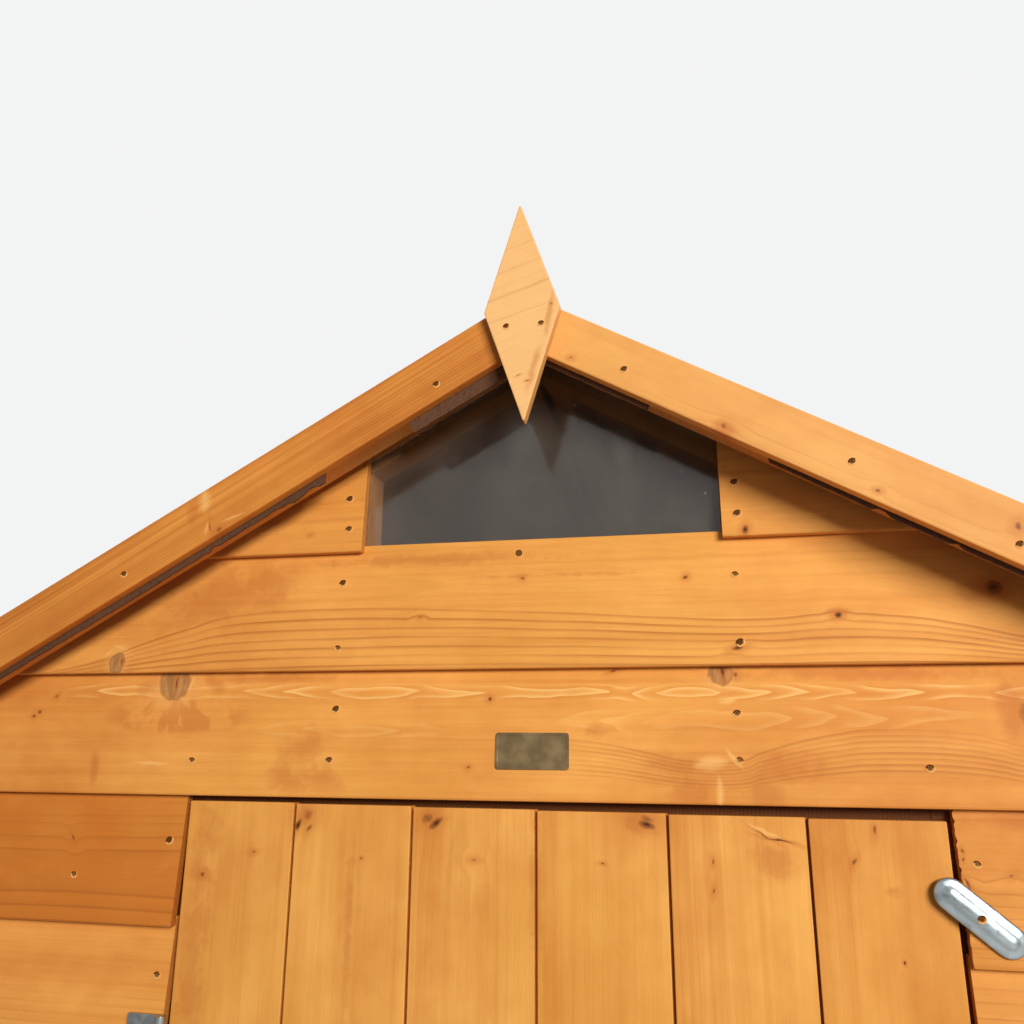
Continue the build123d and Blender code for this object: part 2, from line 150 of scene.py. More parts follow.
class Finish(Graph):
    """One procedural material, or the world's."""

    def __init__(self, name, world=False):
        self.material = (bpy.data.worlds if world else bpy.data.materials).new(name)
        self.material.use_nodes = True
        super().__init__(self.material.node_tree)
        self.tree.nodes.clear()
        self.output = self.node("ShaderNodeOutputWorld" if world else "ShaderNodeOutputMaterial")
        if not world:
            self.shader = self.surface()
            self.show(self.shader)

    def dress(self, shader=None, **values):
        """Sets a shader's values by socket name, in lower case and with _ for a space."""
        for socket in (shader or self.shader).inputs:
            self.feed(socket, values.get(socket.name.lower().replace(" ", "_")))

    def surface(self, kind="ShaderNodeBsdfPrincipled", **values):
        made = self.node(kind)
        self.dress(made, **values)
        return made

    def show(self, shader):
        self.tree.links.new(shader.outputs[0], self.output.inputs["Surface"])

    def blend(self, share, first, second):
        """A shader between two others."""
        made = self.node("ShaderNodeMixShader")
        self.feed(made.inputs["Fac"], share)
        for socket, shader in zip(made.inputs[1:], (first, second)):
            self.tree.links.new(shader.outputs[0], socket)
        return made

    def join(self, *parts):
        return self.made("ShaderNodeCombineXYZ", enumerate(parts))

    def noise(self, vector, scale, detail=2.0, roughness=0.5):
        inputs = {"Vector": vector, "Scale": scale, "Detail": detail, "Roughness": roughness}
        return self.made("ShaderNodeTexNoise", inputs)

    def cells(self, vector, scale, **settings):
        """A Voronoi pattern: the distance to the nearest point, and that point's colour."""
        far = self.made("ShaderNodeTexVoronoi", {"Vector": vector, "Scale": scale}, "Distance", **settings)
        return far, Field(self, far.socket.node.outputs["Color"])

    def mix(self, factor, a, b, blend="MIX"):
        inputs = {"Factor": factor, "A": a, "B": b}
        return self.made("ShaderNodeMix", inputs, "Result", data_type="RGBA", blend_type=blend)

    def attribute(self, name, output="Fac"):
        return self.made("ShaderNodeAttribute", output=output, attribute_name=name)

    def place(self):
        return self.made("ShaderNodeTexCoord", output="Object")

    def ray(self, *kinds):
        """1 for rays of any of some kinds, such as Is Camera Ray, and 0 for others."""
        found, *others = (self.made("ShaderNodeLightPath", output=kind) for kind in kinds)
        for other in others:
            found = found.most(other)
        return found

    def relief(self, height, distance, strength, under=None):
        """Fine relief that a mesh is too coarse for, of a height times a distance."""
        inputs = {"Strength": strength, "Distance": distance, "Height": height, "Normal": under}
        return self.made("ShaderNodeBump", inputs)


def linear_light(*photo):
    """A colour read off the photo's scale of 0 to 255, as Blender's linear light."""
    light = [v / 255 / 12.92 if v < 11 else ((v / 255 + 0.055) / 1.055) ** 2.4 for v in photo]
    return (*light, 1.0)


def treated_softwood(
    name, pale, deep, line, knots=(), grey_knots=(), stains=(), flames=(), stray_knots=True,
    wander=0.007, lines=0.42, rings=None, figures=(), fans=(), patchy=0.42, streaks=0.25,
    banded=0.30, mellow=0.30, saw_marks=0.0, gloss=0.14,
):
    """Flat-sawn softwood, as a section through growth rings that flow round the knots.

    It reads grain, a point's place along, across and through its board from the heart of the
    log, board, which holds the board's seed, ring gap and knottiness, and tone, from pale at 0
    to deep at 1, and to near black past that, which paints shade behind the door's gaps and
    darkens the faces inside the door's joints. Marks are (x, z, half width, half height, lean) on
    the front wall, in millimetres, and a mark may have a sixth number for how far it is faded.
    rings draws the lines of one board: a height under it, how many rings up to its top ring,
    the strength above that ring, the lowest ring drawn, where they begin to show from the
    left, and the top ring's (x, z) points. figures are bands where the board is cut along
    its rings, so that they nest in points: height, rise to the right, half height, strength
    and (x, ring) points. fans are (knot x, knot z, x, z, half width, half height).
    """
    g = Finish(name)
    grain, place, tone = g.attribute("grain", "Vector"), g.place(), g.attribute("tone")
    seed, ring, knotty = g.attribute("board", "Vector").split()
    apart = grain + g.join(seed * 91.0, seed * 37.0, seed)
    along, across, through = grain.split()
    true_x, true_y, true_z = place.split()

    radius = g.join(0.0, across, through).length()
    radius += g.noise(apart * (0.34, 0.8, 0.8), 6.0, 1.0).centred(wander)
    radius += g.noise(apart * (0.12, 1.0, 1.0), 38.0, 1.0).centred(0.0007)

    rough = g.join(
        g.noise(place, 70.0, 1.0).centred(0.0022), 0.0, g.noise(place * 1.3, 61.0, 1.0).centred(0.0022),
    )
    ragged = place + rough
    crumb = g.noise(place, 190.0).centred(0.32)

    def nearest_of(marks, pointed=False):
        """How far the nearest mark is, in its own half sizes."""
        nearest = None
        for x, z, half_x, half_z, lean, *faded in marks:
            off = ragged - (x / 1000, 0.0, z / 1000)
            u = off.dot((1000 * cos(lean) / half_x, 0.0, 1000 * sin(lean) / half_x))
            v = off.dot((-1000 * sin(lean) / half_z, 0.0, 1000 * cos(lean) / half_z))
            reach = u * u + abs(v) if pointed else g.join(u, v, 0.0).length()
            nearest = (reach + faded[0] if faded else reach).least(nearest)
        return nearest

    small, big = nearest_of(knots), nearest_of(grey_knots)
    if stray_knots:
        spread = g.join(along * 2.3, seed * 13.7 + across * 3.6, 0.0)
        far, drawn = g.cells(spread + rough * 3.0, 1.0, voronoi_dimensions="2D")
        chance, fade, _ = drawn.split()
        size = (chance * chance * 0.020 + 0.006) * knotty
        small = (far / size.most(0.0001) + fade * 0.6).least(small)
    if small:
        radius += small.step(0.5, 7.0, 0.0026, 0.0)
    if big:
        radius += big.step(0.5, 4.5, 0.0085, 0.0)

    uneven = g.noise(g.join(radius * 55.0, seed, 0.0), 1.0, 1.0).centred(1.2)
    within = (radius / ring + uneven).part()
    summer = within.step(0.15, 0.90, 0.0, 0.35) * within.step(0.92, 1.0, 1.0, 0.0)
    late_wood = within.band(0.68, 0.88, 0.90, 1.0).most(summer)
    late_wood *= g.noise(apart * (0.45, 1.0, 1.0), 9.0, 1.0).step(0.34, 0.64, 0.10, 1.0)
    if rings:
        low, count, above, least, begin, top_ring = rings
        tall = true_x.curve(top_ring) - low
        share = (true_z - low) / tall
        turn = share * count + g.noise(place * (0.35, 1.0, 1.6), 14.0).centred(0.34)
        if small:
            turn -= small.step(0.5, 5.0, 0.40, 0.0)
        under = turn.part().combined("MULTIPLY_ADD", -1.0, 1.0) * (tall / count)
        drawn = under.step(0.0006, 0.0042, 1.0, 0.0) * under.step(0.0, 0.0008)
        each = g.join(turn.whole() * 5.3, true_x * 5.0, seed)
        drawn *= g.noise(each, 1.0, 1.0).step(0.28, 0.62, 0.30, 1.0)
        drawn *= share.step(1.0, 1.0 + 0.4 / count, 1.0, above)
        drawn *= turn.step(least - 1.0, least)
        drawn *= true_x.step(begin - 0.10, begin + 0.06, 0.15, 1.0)
        late_wood = drawn.most(late_wood * 0.16)

    fibre = g.noise(apart * (16.0, 620.0, 620.0), 1.0, 3.0, 0.6)
    streak = g.noise(apart * (1.6, 150.0, 150.0), 1.0, 3.0, 0.6)
    fleck = g.noise(apart * (90.0, 520.0, 520.0), 1.0, 1.0)
    cloud = g.noise(apart * (0.55, 1.0, 1.0), 13.0, 3.0, 0.60)
    wash = g.noise(place + g.join(seed * 5.0, 0.0, 0.0), 3.2)
    bands = g.noise(g.join(radius * 70.0, seed * 31.0, along * 0.8), 1.0, 1.0)

    soak = tone + cloud.centred(patchy) + wash.centred(0.34) + bands.centred(banded)
    soak += g.noise(place, 46.0, 2.0, 0.6).centred(0.16)
    tint = g.mix(soak.clamped(), pale, deep)

    def stained(share, paint):
        """Lays a paint over the tint, by a share."""
        nonlocal tint
        tint = g.mix(share, tint, paint)

    stained(g.noise(place, 8.0).step(0.42, 0.70, 0.0, mellow), (226, 156, 64))
    stained(streak.step(0.42, 0.78, 0.0, streaks), deep)
    stained(late_wood * lines, line)
    shade = fibre.centred(0.085) + 1.0 - fleck.step(0.64, 0.74, 0.0, 0.04)
    tint = g.mix(1.0, tint, g.join(shade, shade, shade), "MULTIPLY")

    for height, rise, half, strong, crossings in figures:
        off = (true_z - (true_x * rise + height)) / half
        off = abs(off + g.noise(place * (1.0, 1.0, 0.2), 16.0).centred(0.7))
        loose = g.noise(place * (0.7, 1.0, 2.4), 22.0).centred(0.60)
        within = (true_x.curve(crossings) + off ** 1.35 + loose).part()
        first, last = crossings[0][0], crossings[-1][0]
        zone = off.step(0.62, 1.15, strong, 0.0) * g.noise(place, 17.0).step(0.30, 0.58, 0.25, 1.0)
        zone *= true_x.band(first, first + 0.05, last - 0.05, last)
        stained(within.step(0.0, 0.50, 0.40, 0.0) * zone, deep)
        stained(within.band(0.40, 0.95, 0.95, 1.0) * zone, (255, 202, 122))
    if flames:
        stained(nearest_of(flames, pointed=True).step(0.0, 1.15, 0.56, 0.0), (255, 198, 118))
    for knot_x, knot_z, *oval in fans:
        knot_x, knot_z = knot_x / 1000, knot_z / 1000
        at_x, _, at_z = ragged.split()
        spoke = (at_z - knot_z).angle(at_x - knot_x)
        away = (ragged - g.join(knot_x, true_y, knot_z)).length()
        lobes = g.noise(g.join(spoke * 3.2, away * 28.0, seed), 1.0)
        inside = nearest_of(((*oval, 0.0),)).step(0.70, 1.10, 0.46, 0.0)
        stained(lobes.step(0.44, 0.55) * inside, (196, 108, 44))
    if stains:
        swirl = g.noise(place + rough * 6.0, 44.0, 3.0, 0.6).centred(1.0)
        stained((nearest_of(stains) + swirl).step(0.25, 1.30, 0.46, 0.0), (194, 108, 46))
    if big:
        big += crumb * 0.6
        streaked = g.noise(place * (1.0, 1.0, 0.22), 210.0).step(0.35, 0.65)
        stained(big.step(1.0, 2.2, 0.35, 0.0), (240, 172, 100))
        stained(big.step(0.80, 1.05, 0.80, 0.0), g.mix(streaked, (188, 134, 80), (146, 98, 56)))
        stained(big.band(0.80, 0.97, 0.99, 1.16) * 0.45, (122, 68, 30))
    if small:
        small += crumb
        stained(small.step(1.0, 3.2, 0.45, 0.0), (200, 114, 48))
        stained(small.step(0.70, 1.25, 0.85, 0.0), (146, 84, 34))
        stained(small.step(0.20, 0.75, 0.90, 0.0), (66, 32, 14))
    stained(g.attribute("end_grain") * 0.45, line)
    # Past a tone of 1.2 the wood goes near black: painted shade on the frame's faces behind the door's gaps,
    # and darker faces inside the door's joints.
    stained(tone.step(1.2, 2.2, 0.0, 0.92), (84, 42, 14))

    relief = fibre * 0.4 - fleck.step(0.64, 0.74, 0.0, 0.15)
    if saw_marks:
        comb = (along + g.noise(apart, 18.0).centred(0.004)) * 1900.0
        relief = comb.wave() * saw_marks + relief
    g.dress(
        base_color=tint, roughness=fibre.step(0.2, 0.8, 0.50, 0.66), specular_ior_level=gloss,
        normal=g.relief(relief, 0.0003, 0.8),
    )
    return g.material


sawn_wood = treated_softwood(
    "sawn_frame_wood", (228, 158, 88), (190, 116, 58), (150, 88, 42), saw_marks=0.35, gloss=0.10,
)


class GrainLayers:
    """The attributes that the wood reads, added to a bmesh."""

    def __init__(self, mesh):
        points = mesh.verts.layers
        self.grain = points.float_vector.new("grain")
        self.board = points.float_vector.new("board")
        self.tone = points.float.new("tone")
        self.end = mesh.faces.layers.float.new("end_grain")

    def mark(self, point, grain, board, tone):
        point[self.grain], point[self.board], point[self.tone] = grain, board, tone


def in_scene(name, data):
    """An object at the origin, in the scene."""
    made = bpy.data.objects.new(name, data)
    bpy.context.scene.collection.objects.link(made)
    return made


def mesh_data(name, mesh):
    """A bmesh as a mesh of Blender's, with the bmesh freed."""
    data = bpy.data.meshes.new(name)
    mesh.to_mesh(data)
    mesh.free()
    return data


def piece_of(name, mesh, material, body, nodes=(), sharp=22.0):
    """Makes a mesh a piece that rides on its body and stands for its CAD nodes."""
    data = mesh_data(name, mesh) if isinstance(mesh, bmesh.types.BMesh) else mesh
    data.shade_smooth()
    data.set_sharp_from_angle(angle=radians(sharp))
    data.materials.clear()
    data.materials.append(material)
    piece = in_scene(name, data)
    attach(piece, body)
    if nodes:
        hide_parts(*nodes)


def islands(mesh):
    """The separate solids of a bmesh, as lists of vertices, in a fixed order."""
    seen, found = set(), []
    for first in mesh.verts:
        if first in seen:
            continue
        group, stack = [], [first]
        seen.add(first)
        while stack:
            vertex = stack.pop()
            group.append(vertex)
            for edge in vertex.link_edges:
                other = edge.other_vert(vertex)
                if other not in seen:
                    seen.add(other)
                    stack.append(other)
        found.append(group)
    return sorted(found, key=lambda g: tuple(round(min(v.co[k] for v in g), 4) for k in range(3)))


def dressed_timber(
    node, material, body="shed", edge=0.0012, along=None, ring=0.0045, tone=0.35, knotty=1.0,
    hearts=(), darkening=None,
):
    """A CAD timber with its edges eased, and its grain laid along its longest edge.

    hearts gives where the log's heart lies from each stick's middle, across and through, or
    it is drawn at random. darkening adds to the tone at a point, to paint shade on faces behind the door's
    gaps.
    """
    mesh = bmesh.new()
    mesh.from_mesh(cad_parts[node].data)
    bmesh.ops.remove_doubles(mesh, verts=mesh.verts, dist=1e-5)
    bmesh.ops.dissolve_limit(mesh, angle_limit=radians(1.0), verts=mesh.verts, edges=mesh.edges)
    sticks = []
    for group in islands(mesh):
        edges = {e for v in group for e in v.link_edges}
        longest = max(edges, key=lambda e: (round(e.calc_length(), 5), -e.index))
        sticks.append((longest.verts[1].co - longest.verts[0].co).normalized())
    sharp = [e for e in mesh.edges if len(e.link_faces) == 2 and e.calc_face_angle(0) > radians(25)]
    bmesh.ops.bevel(
        mesh, geom=sharp, offset=edge, segments=2, profile=0.6, affect="EDGES", clamp_overlap=True,
    )
    layers = GrainLayers(mesh)
    random = Random(node)
    for n, (stick, group) in enumerate(zip(sticks, islands(mesh))):
        u = Vector(along) if along else stick
        v = u.cross(Vector((0, 1, 0)) if abs(u.y) < 0.8 else Vector((1, 0, 0))).normalized()
        w = u.cross(v)
        middle = sum((p.co for p in group), Vector()) / len(group)
        heart = (random.uniform(-0.045, 0.045), random.choice((-1, 1)) * random.uniform(0.027, 0.0675))
        heart = hearts[n] if hearts else heart
        slant = random.uniform(-0.012, 0.012)
        board = (random.random(), ring * random.uniform(0.8, 1.2), knotty)
        stick_tone = tone + random.uniform(-0.10, 0.10)
        for point in group:
            local = point.co - middle
            run = local.dot(u)
            grain = (run, local.dot(v) - heart[0], local.dot(w) - heart[1] + slant * run)
            layers.mark(point, grain, board, stick_tone + (darkening(point.co) if darkening else 0.0))
        for face in {f for p in group for f in p.link_faces}:
            face[layers.end] = 1.0 if abs(face.normal.dot(u)) > 0.75 else 0.0
    piece_of(f"{node}_timber", mesh, material, body, [node])


dressed_timber("floor_bearers", sawn_wood, ring=0.0036)


# Floor boards.
# Planed boards nailed across the bearers, tight side by side, a little greyer than the
# walls. They are made one by one, each from its own part of a log.
def skin(mesh, loops):
    """Joins loops of points into a closed tube; gives its side faces and its two caps."""
    sides = []
    for loop, following in zip(loops, loops[1:]):
        for a in range(len(loop)):
            b = (a + 1) % len(loop)
            sides.append(mesh.faces.new((loop[a], loop[b], following[b], following[a])))
    return sides, [mesh.faces.new(loop) for loop in (loops[0], loops[-1])]


class Boards:
    """Collects boards into one mesh, each with its own grain."""

    def __init__(self, name):
        self.name, self.random, self.mesh = name, Random(name), bmesh.new()
        self.layers = GrainLayers(self.mesh)

    def add(
        self, place, section, start, finish, heart=None, ring=None, tone=None, knotty=1.0,
        sway=0.0, step=0.09, darkening=None,
    ):
        """Sweeps a section of (across, out) points along a board.

        start and finish are distances along the board, or functions of (across, out).
        heart is where the log's heart lies and how it slants: across, out, slant.
        darkening, a function of (across, out), is added to the tone, for darker faces inside joints.
        """
        random, ease = self.random, 0.0007
        centre = Vector([sum(p[k] for p in section) / len(section) for k in (0, 1)])
        begin, stop = (end if callable(end) else (lambda v, w, end=end: end) for end in (start, finish))
        pieces = max(2, ceil(max(stop(*p) - begin(*p) for p in section) / step))
        if heart is None:
            heart = [random.uniform(*span) for span in ((-0.05, 0.05), (-0.015, -0.060), (-0.012, 0.012))]
        tone = random.uniform(0.10, 0.55) if tone is None else tone
        board = (random.random(), ring or random.uniform(0.0055, 0.0095), knotty)
        waves = [(random.uniform(2.0, 7.0), random.uniform(0, 2 * pi)) for _ in range(2)]
        loops = []
        for n in range(-1, pieces + 2):
            loops.append([])
            share = min(max(n / pieces, 0.0), 1.0)
            for v, w in section:
                u0, u1 = begin(v, w), stop(v, w)
                u = u0 + (u1 - u0) * share
                small = Vector((v, w))
                if n in (-1, pieces + 1):
                    small += (centre - small).normalized() * ease
                elif n == 0:
                    u = min(u + ease, (u0 + u1) / 2)
                elif n == pieces:
                    u = max(u - ease, (u0 + u1) / 2)
                bow = sway * sum(sin(f * u + phase) for f, phase in waves) / 2
                vertex = self.mesh.verts.new(place @ Vector((u, small.x, small.y + bow)))
                grain = (u, v - centre.x - heart[0], w - centre.y - heart[1] + heart[2] * u)
                self.layers.mark(vertex, grain, board, tone + (darkening(v, w) if darkening else 0.0))
                loops[-1].append(vertex)
        for cap in skin(self.mesh, loops)[1]:
            cap[self.layers.end] = 1.0

    def build(self, material, body, node):
        bmesh.ops.recalc_face_normals(self.mesh, faces=self.mesh.faces)
        piece_of(self.name, self.mesh, material, body, [node])


def eased(corners, radii):
    """A board's section with its corners rounded: corners of (across, out), one radius each."""
    points = []
    for n, (corner, radius) in enumerate(zip(corners, radii)):
        here = Vector(corner)
        back = (Vector(corners[n - 1]) - here).normalized()
        ahead = (Vector(corners[(n + 1) % len(corners)]) - here).normalized()
        if radius > 0:
            points += [here + back * radius, here + (back + ahead) * radius * 0.29, here + ahead * radius]
        else:
            points.append(here)
    return [tuple(point) for point in points]


def facing(along, across, out, origin=(0, 0, 0)):
    """A matrix that stands a board's along, across and out on three directions."""
    return Matrix(((*along, 0), (*across, 0), (*out, 0), (*origin, 1))).transposed()


up = (0, 0, 1)
floor_low, floor_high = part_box("floor_boards")
floor_wood = treated_softwood("floor_wood", (222, 156, 90), (184, 116, 62), (146, 88, 44), gloss=0.10)
floor = Boards("floor_boards_laid")
board_count, seam = 13, 0.0004
board_width = (floor_high.x - floor_low.x) / board_count
for n in range(board_count):
    left, right = (floor_low.x + (n + k) * board_width + gap for k, gap in ((0, seam), (1, -seam)))
    corners = [(left, floor_low.z), (right, floor_low.z), (right, floor_high.z), (left, floor_high.z)]
    floor.add(
        facing((0, -1, 0), (1, 0, 0), up), eased(corners, (0, 0, 0.0012, 0.0012)),
        -floor_high.y, -floor_low.y, step=0.3,
    )
floor.build(floor_wood, "shed", "floor_boards")


# Wall frames.
# Sawn battens butted and nailed into panels: posts, studs, rails and the rafters that close
# each gable. They keep the section they were sawn to, with saw marks across the grain. The
# faces behind the gaps round the door are painted near black, as painted shade. The window
# studs are painted paler, as painted light where they show through the pane.
front_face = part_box("front_rails")[0].y + 0.0005
for node in (
    "front_posts", "front_rails", "window_studs", "front_rafters", "back_rafters", "back_studs",
    "back_rail", "left_studs", "left_rails", "right_studs", "right_rails",
):
    gap_shaded = node in ("front_posts", "front_rails")
    dressed_timber(
        # The window studs are paler: painted light where they show lit through the pane.
        node, sawn_wood, tone=-0.2 if node == "window_studs" else 0.35,
        # Faces in front of front_face get painted shade: near black behind the door's gaps.
        darkening=(lambda p: 1.9 if p.y < front_face else 0.0) if gap_shaded else None,
    )


# Lapped cladding.
# Thin boards nailed outside the frames from the ground up, each lapping the one below, so
# each leans a little. Every course is a board of its own with its lower edge eased.
board_thickness, board_cover, board_lap = 0.009, 0.116, 0.008
lean = board_thickness / board_cover
cladding_proud = 2 * board_thickness + lean * board_lap
frame_half_width, frame_half_length = 0.742, 1.045
cladding_bottom, eaves_height = 0.030, 1.568
pitch = radians(29.5)
slope = tan(pitch)
ridge_height = eaves_height + frame_half_width * slope
door_courses, gable_courses = 13, 17
door_head = cladding_bottom + door_courses * board_cover
opening_half = 0.341
window_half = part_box("gable_board_right")[0].x


def course_section(course, top=None):
    """One lapped board's section, standing on its course, cut off at a height if one is given."""
    bottom = cladding_bottom + course * board_cover
    high = bottom + board_cover + board_lap - 0.0003
    high = high if top is None else min(high, top)
    shift, inner = lean * (high - bottom), cladding_proud - board_thickness + 0.0002
    corners = [(bottom, inner), (bottom, cladding_proud)]
    corners += [(high, cladding_proud - shift), (high, inner - shift)]
    radii = [0.0006, 0.0020, 0.0010, 0.0005]
    if bottom < eaves_height < high:
        shift = lean * (eaves_height - bottom)
        corners.insert(2, (eaves_height, cladding_proud - shift))
        corners.append((eaves_height, inner - shift))
        radii = [0.0006, 0.0020, 0, 0.0010, 0.0005, 0]
    return eased(corners, radii)


def roof_reach(height, out=0.0):
    """How far to the right of a gable's middle the roof's underside is, at a height."""
    under_roof = frame_half_width - (height - eaves_height) / slope
    return max(0.002, min(frame_half_width, under_roof) - 0.0005)


def left_reach(height, out):
    """Where the roof's underside is on the left."""
    return -roof_reach(height)


def closely_cut(section):
    """The same section with a point every 3 mm or so, for an end with a torn edge."""
    points = []
    for (v0, w0), (v1, w1) in zip(section, section[1:] + section[:1]):
        parts = max(1, int(((v1 - v0) ** 2 + (w1 - w0) ** 2) ** 0.5 / 0.003))
        points += [(v0 + (v1 - v0) * k / parts, w0 + (w1 - w0) * k / parts) for k in range(parts)]
    return points


def torn_end(v, w):
    """Where the right-hand top board starts: sawn off coarsely beside the door."""
    bite = sin(2100 * v) * sin(830 * v + 40 * w) + 0.6 * sin(4700 * v + 1.3)
    return opening_half + 0.0006 + 0.00035 * bite + (0.0006 if bite > 1.05 else 0.0)


def lay_board(node, material, section, start, finish, **grown):
    """One long board of the front gable, as a piece of its own."""
    board = Boards(f"{node}_laid")
    board.add(front_wall, section, start, finish, knotty=0.0, **grown)
    board.build(material, "shed", node)


front_wall = facing((1, 0, 0), up, (0, -1, 0), (0, -frame_half_length, 0))
back_wall = facing((-1, 0, 0), up, (0, 1, 0), (0, frame_half_length, 0))
left_wall = facing((0, -1, 0), up, (-1, 0, 0), (-frame_half_width, 0, 0))
right_wall = facing((0, 1, 0), up, (1, 0, 0), (frame_half_width, 0, 0))
honey_tones = (249, 174, 86), (205, 118, 44), (160, 84, 30)
front_wood = treated_softwood(
    "front_cladding_wood", *honey_tones, patchy=0.36,
    knots=(
        (194, 1775.5, 4.6, 3, 1.2), (-458.8, 1496.2, 2.2, 6, 0.5, 0.5),
        (378.5, 1489.3, 4.2, 2.8, 0.6, 0.7), (345.2, 1483.6, 2, 6, 0.5, 0.3),
        (344.6, 1501, 1.2, 2, -0.2, 0.4), (345, 1507, 1.2, 2, 0.2, 0.4),
    ),
    stains=(
        # The first stain, a band along the top of the right-hand board under the lintel board, is painted
        # shade.
        (400, 1529, 60, 7, 0), (-230, 1790, 6, 4, 0),
    ),
)
cladding_wood = treated_softwood("cladding_wood", *honey_tones)
lintel_wood = treated_softwood(
    "lintel_board_wood", *honey_tones, stray_knots=False, wander=0.010, patchy=0.58,
    rings=(1.526, 16, 0.0, 8.5, 0.06, (
        (0.0224, 1.5925), (0.0581, 1.5892), (0.1016, 1.5809), (0.1355, 1.5745), (0.1606, 1.5731),
        (0.1942, 1.5816), (0.2277, 1.5916), (0.2605, 1.5982), (0.2847, 1.6015), (0.3237, 1.6016),
        (0.3541, 1.5993), (0.3832, 1.593), (0.4001, 1.5876), (0.48, 1.58),
    )),
    figures=(
        (1.6326, -0.007, 0.0068, 0.68, (
            (-0.4974, 4.6), (-0.4508, 4), (-0.4109, 3.4), (-0.33, 3.2), (-0.2954, 3), (-0.2487, 2),
            (-0.203, 1), (-0.16, 0.3), (-0.1107, 1), (-0.0459, 2), (0.0659, 3), (0.0766, 3.3),
            (0.0873, 3), (0.112, 2), (0.1468, 1.5), (0.1639, 2), (0.207, 3), (0.2359, 4), (0.2782, 5),
            (0.3383, 6), (0.3622, 6.3), (0.3859, 6), (0.4069, 5.4), (0.4974, 4),
        )),
        (1.606, 0.013, 0.01, 0.24, (
            (0, 3.4), (0.0494, 2.4), (0.0646, 2), (0.0955, 1), (0.1626, 0.3), (0.2301, 1), (0.2616, 2),
            (0.3013, 3), (0.3325, 3.5), (0.39, 4.2),
        )),
        (1.599, 0.0, 0.007, 0.24, (
            (-0.29, 2.4), (-0.2344, 1), (-0.1876, 0.5), (-0.1282, 1), (-0.06, 2.2),
        )),
    ),
    fans=(
        (-368.4, 1650, -360, 1612, 86, 18),
    ),
    knots=(
        (-365.5, 1644, 1.3, 8, 0, 0.2), (166.8, 1649.5, 1.8, 5.2, 0.1, 0.1),
        (179, 1647, 3.2, 4, 0.4, 0.6), (407, 1612.8, 12, 21, 0.1, 0.62),
        (-42.9, 1627, 2.6, 2.2, 0, 0.2), (-522.6, 1612.3, 2.2, 2, 0, 0.1),
        (-516.5, 1616.3, 2, 2, 0, 0.1), (-500.2, 1632.3, 3.6, 2.2, 0.4, 0.5),
        (-61.4, 1565.9, 3, 2, 0, 0.5), (71.6, 1651.5, 6.5, 1.6, 0.3, 0.4),
    ),
    grey_knots=(
        (-368.4, 1645, 16, 17, 0), (165.8, 1648.6, 10.5, 10, 0),
    ),
    stains=(
        (290, 1647, 130, 6, 0), (-260, 1648, 70, 6, 0), (-226, 1582.4, 30, 16, 0.3),
        (-238, 1555.2, 25, 14, 0), (-196, 1554.1, 20, 16, -0.6), (-442.5, 1562, 4.5, 15, 0.1),
        (54.6, 1598, 20, 8, 0.1, 0.35), (122, 1570, 26, 13, -0.1), (136, 1547, 20, 12, 0),
        (215, 1569, 32, 13, 0.15), (196, 1547, 20, 11, 0), (-395, 1641.6, 18, 13, 0.5),
        (-324, 1645, 15.3, 8.9, -0.5), (395, 1615, 11, 24, 0),
    ),
    flames=(
        (-381, 1567.3, 23.9, 2.2, 0), (-349, 1644, 11, 1.8, 1.3), (159, 1546, 19, 4.4, 1.55),
        (153, 1572, 17, 9, 0.1), (173, 1576, 13, 3, -0.9), (170, 1624, 10, 3, 0.2),
    ),
)
sill_wood = treated_softwood(
    "sill_board_wood", *honey_tones, stray_knots=False, wander=0.010, lines=0.58, patchy=0.36,
    rings=(1.65, 7, 0.10, 0.5, -0.9, (
        (-0.52, 1.654), (-0.4509, 1.6677), (-0.4093, 1.6834), (-0.3544, 1.6987), (-0.2902, 1.7114),
        (-0.1945, 1.7141), (0.0046, 1.707), (0.1326, 1.6982), (0.2036, 1.6956), (0.2652, 1.6995),
        (0.3098, 1.6966), (0.3642, 1.6875), (0.4101, 1.6764), (0.5, 1.66),
    )),
    knots=(
        (-12.1, 1739.3, 2.6, 2, 0, 0.4), (138.7, 1735.1, 2.6, 2.4, 0.3, 0.1),
        (267.4, 1696.8, 3.4, 2.6, 0.3), (395.1, 1717.7, 8.5, 7, 0.3, 0.2),
        (181.2, 1669, 6, 2.2, 0.2, 0.2), (-112, 1704.1, 3, 1.8, 0.4, 0.5),
        (-426, 1666, 1.2, 3.6, 0.1, 0.3),
    ),
    grey_knots=(
        (-430.9, 1665, 8.2, 10.5, 0),
    ),
    stains=(
        (23, 1741, 142.9, 3.4, 0, 0.45), (-320, 1730, 90, 26, 0.25), (199, 1651.8, 50.2, 4.3, 0),
        (-115, 1760.9, 123.3, 6.1, 0), (268, 1699.4, 13.2, 5, 0), (389, 1715, 30, 12, 0),
    ),
    flames=(
        (-429, 1680, 10, 1.8, -0.3), (-442, 1674.5, 8, 1.6, 0.8),
    ),
)
for side, name in ((-1, "left"), (1, "right")):
    wall = Boards(f"front_cladding_{name}_boards")
    ends = sorted((side * opening_half, side * frame_half_width))
    for course in range(door_courses - 1):
        wall.add(front_wall, course_section(course), *ends, sway=0.0004)
    section = course_section(door_courses - 1)
    if side > 0:
        section, ends = closely_cut(section), (torn_end, frame_half_width)
    wall.add(
        front_wall, section, *ends, sway=0.0004, heart=(0.02 * side, -0.030, 0.0),
        tone=0.95 if side < 0 else 0.62, knotty=0.0,
    )
    wall.build(front_wood, "shed", f"front_cladding_{name}")
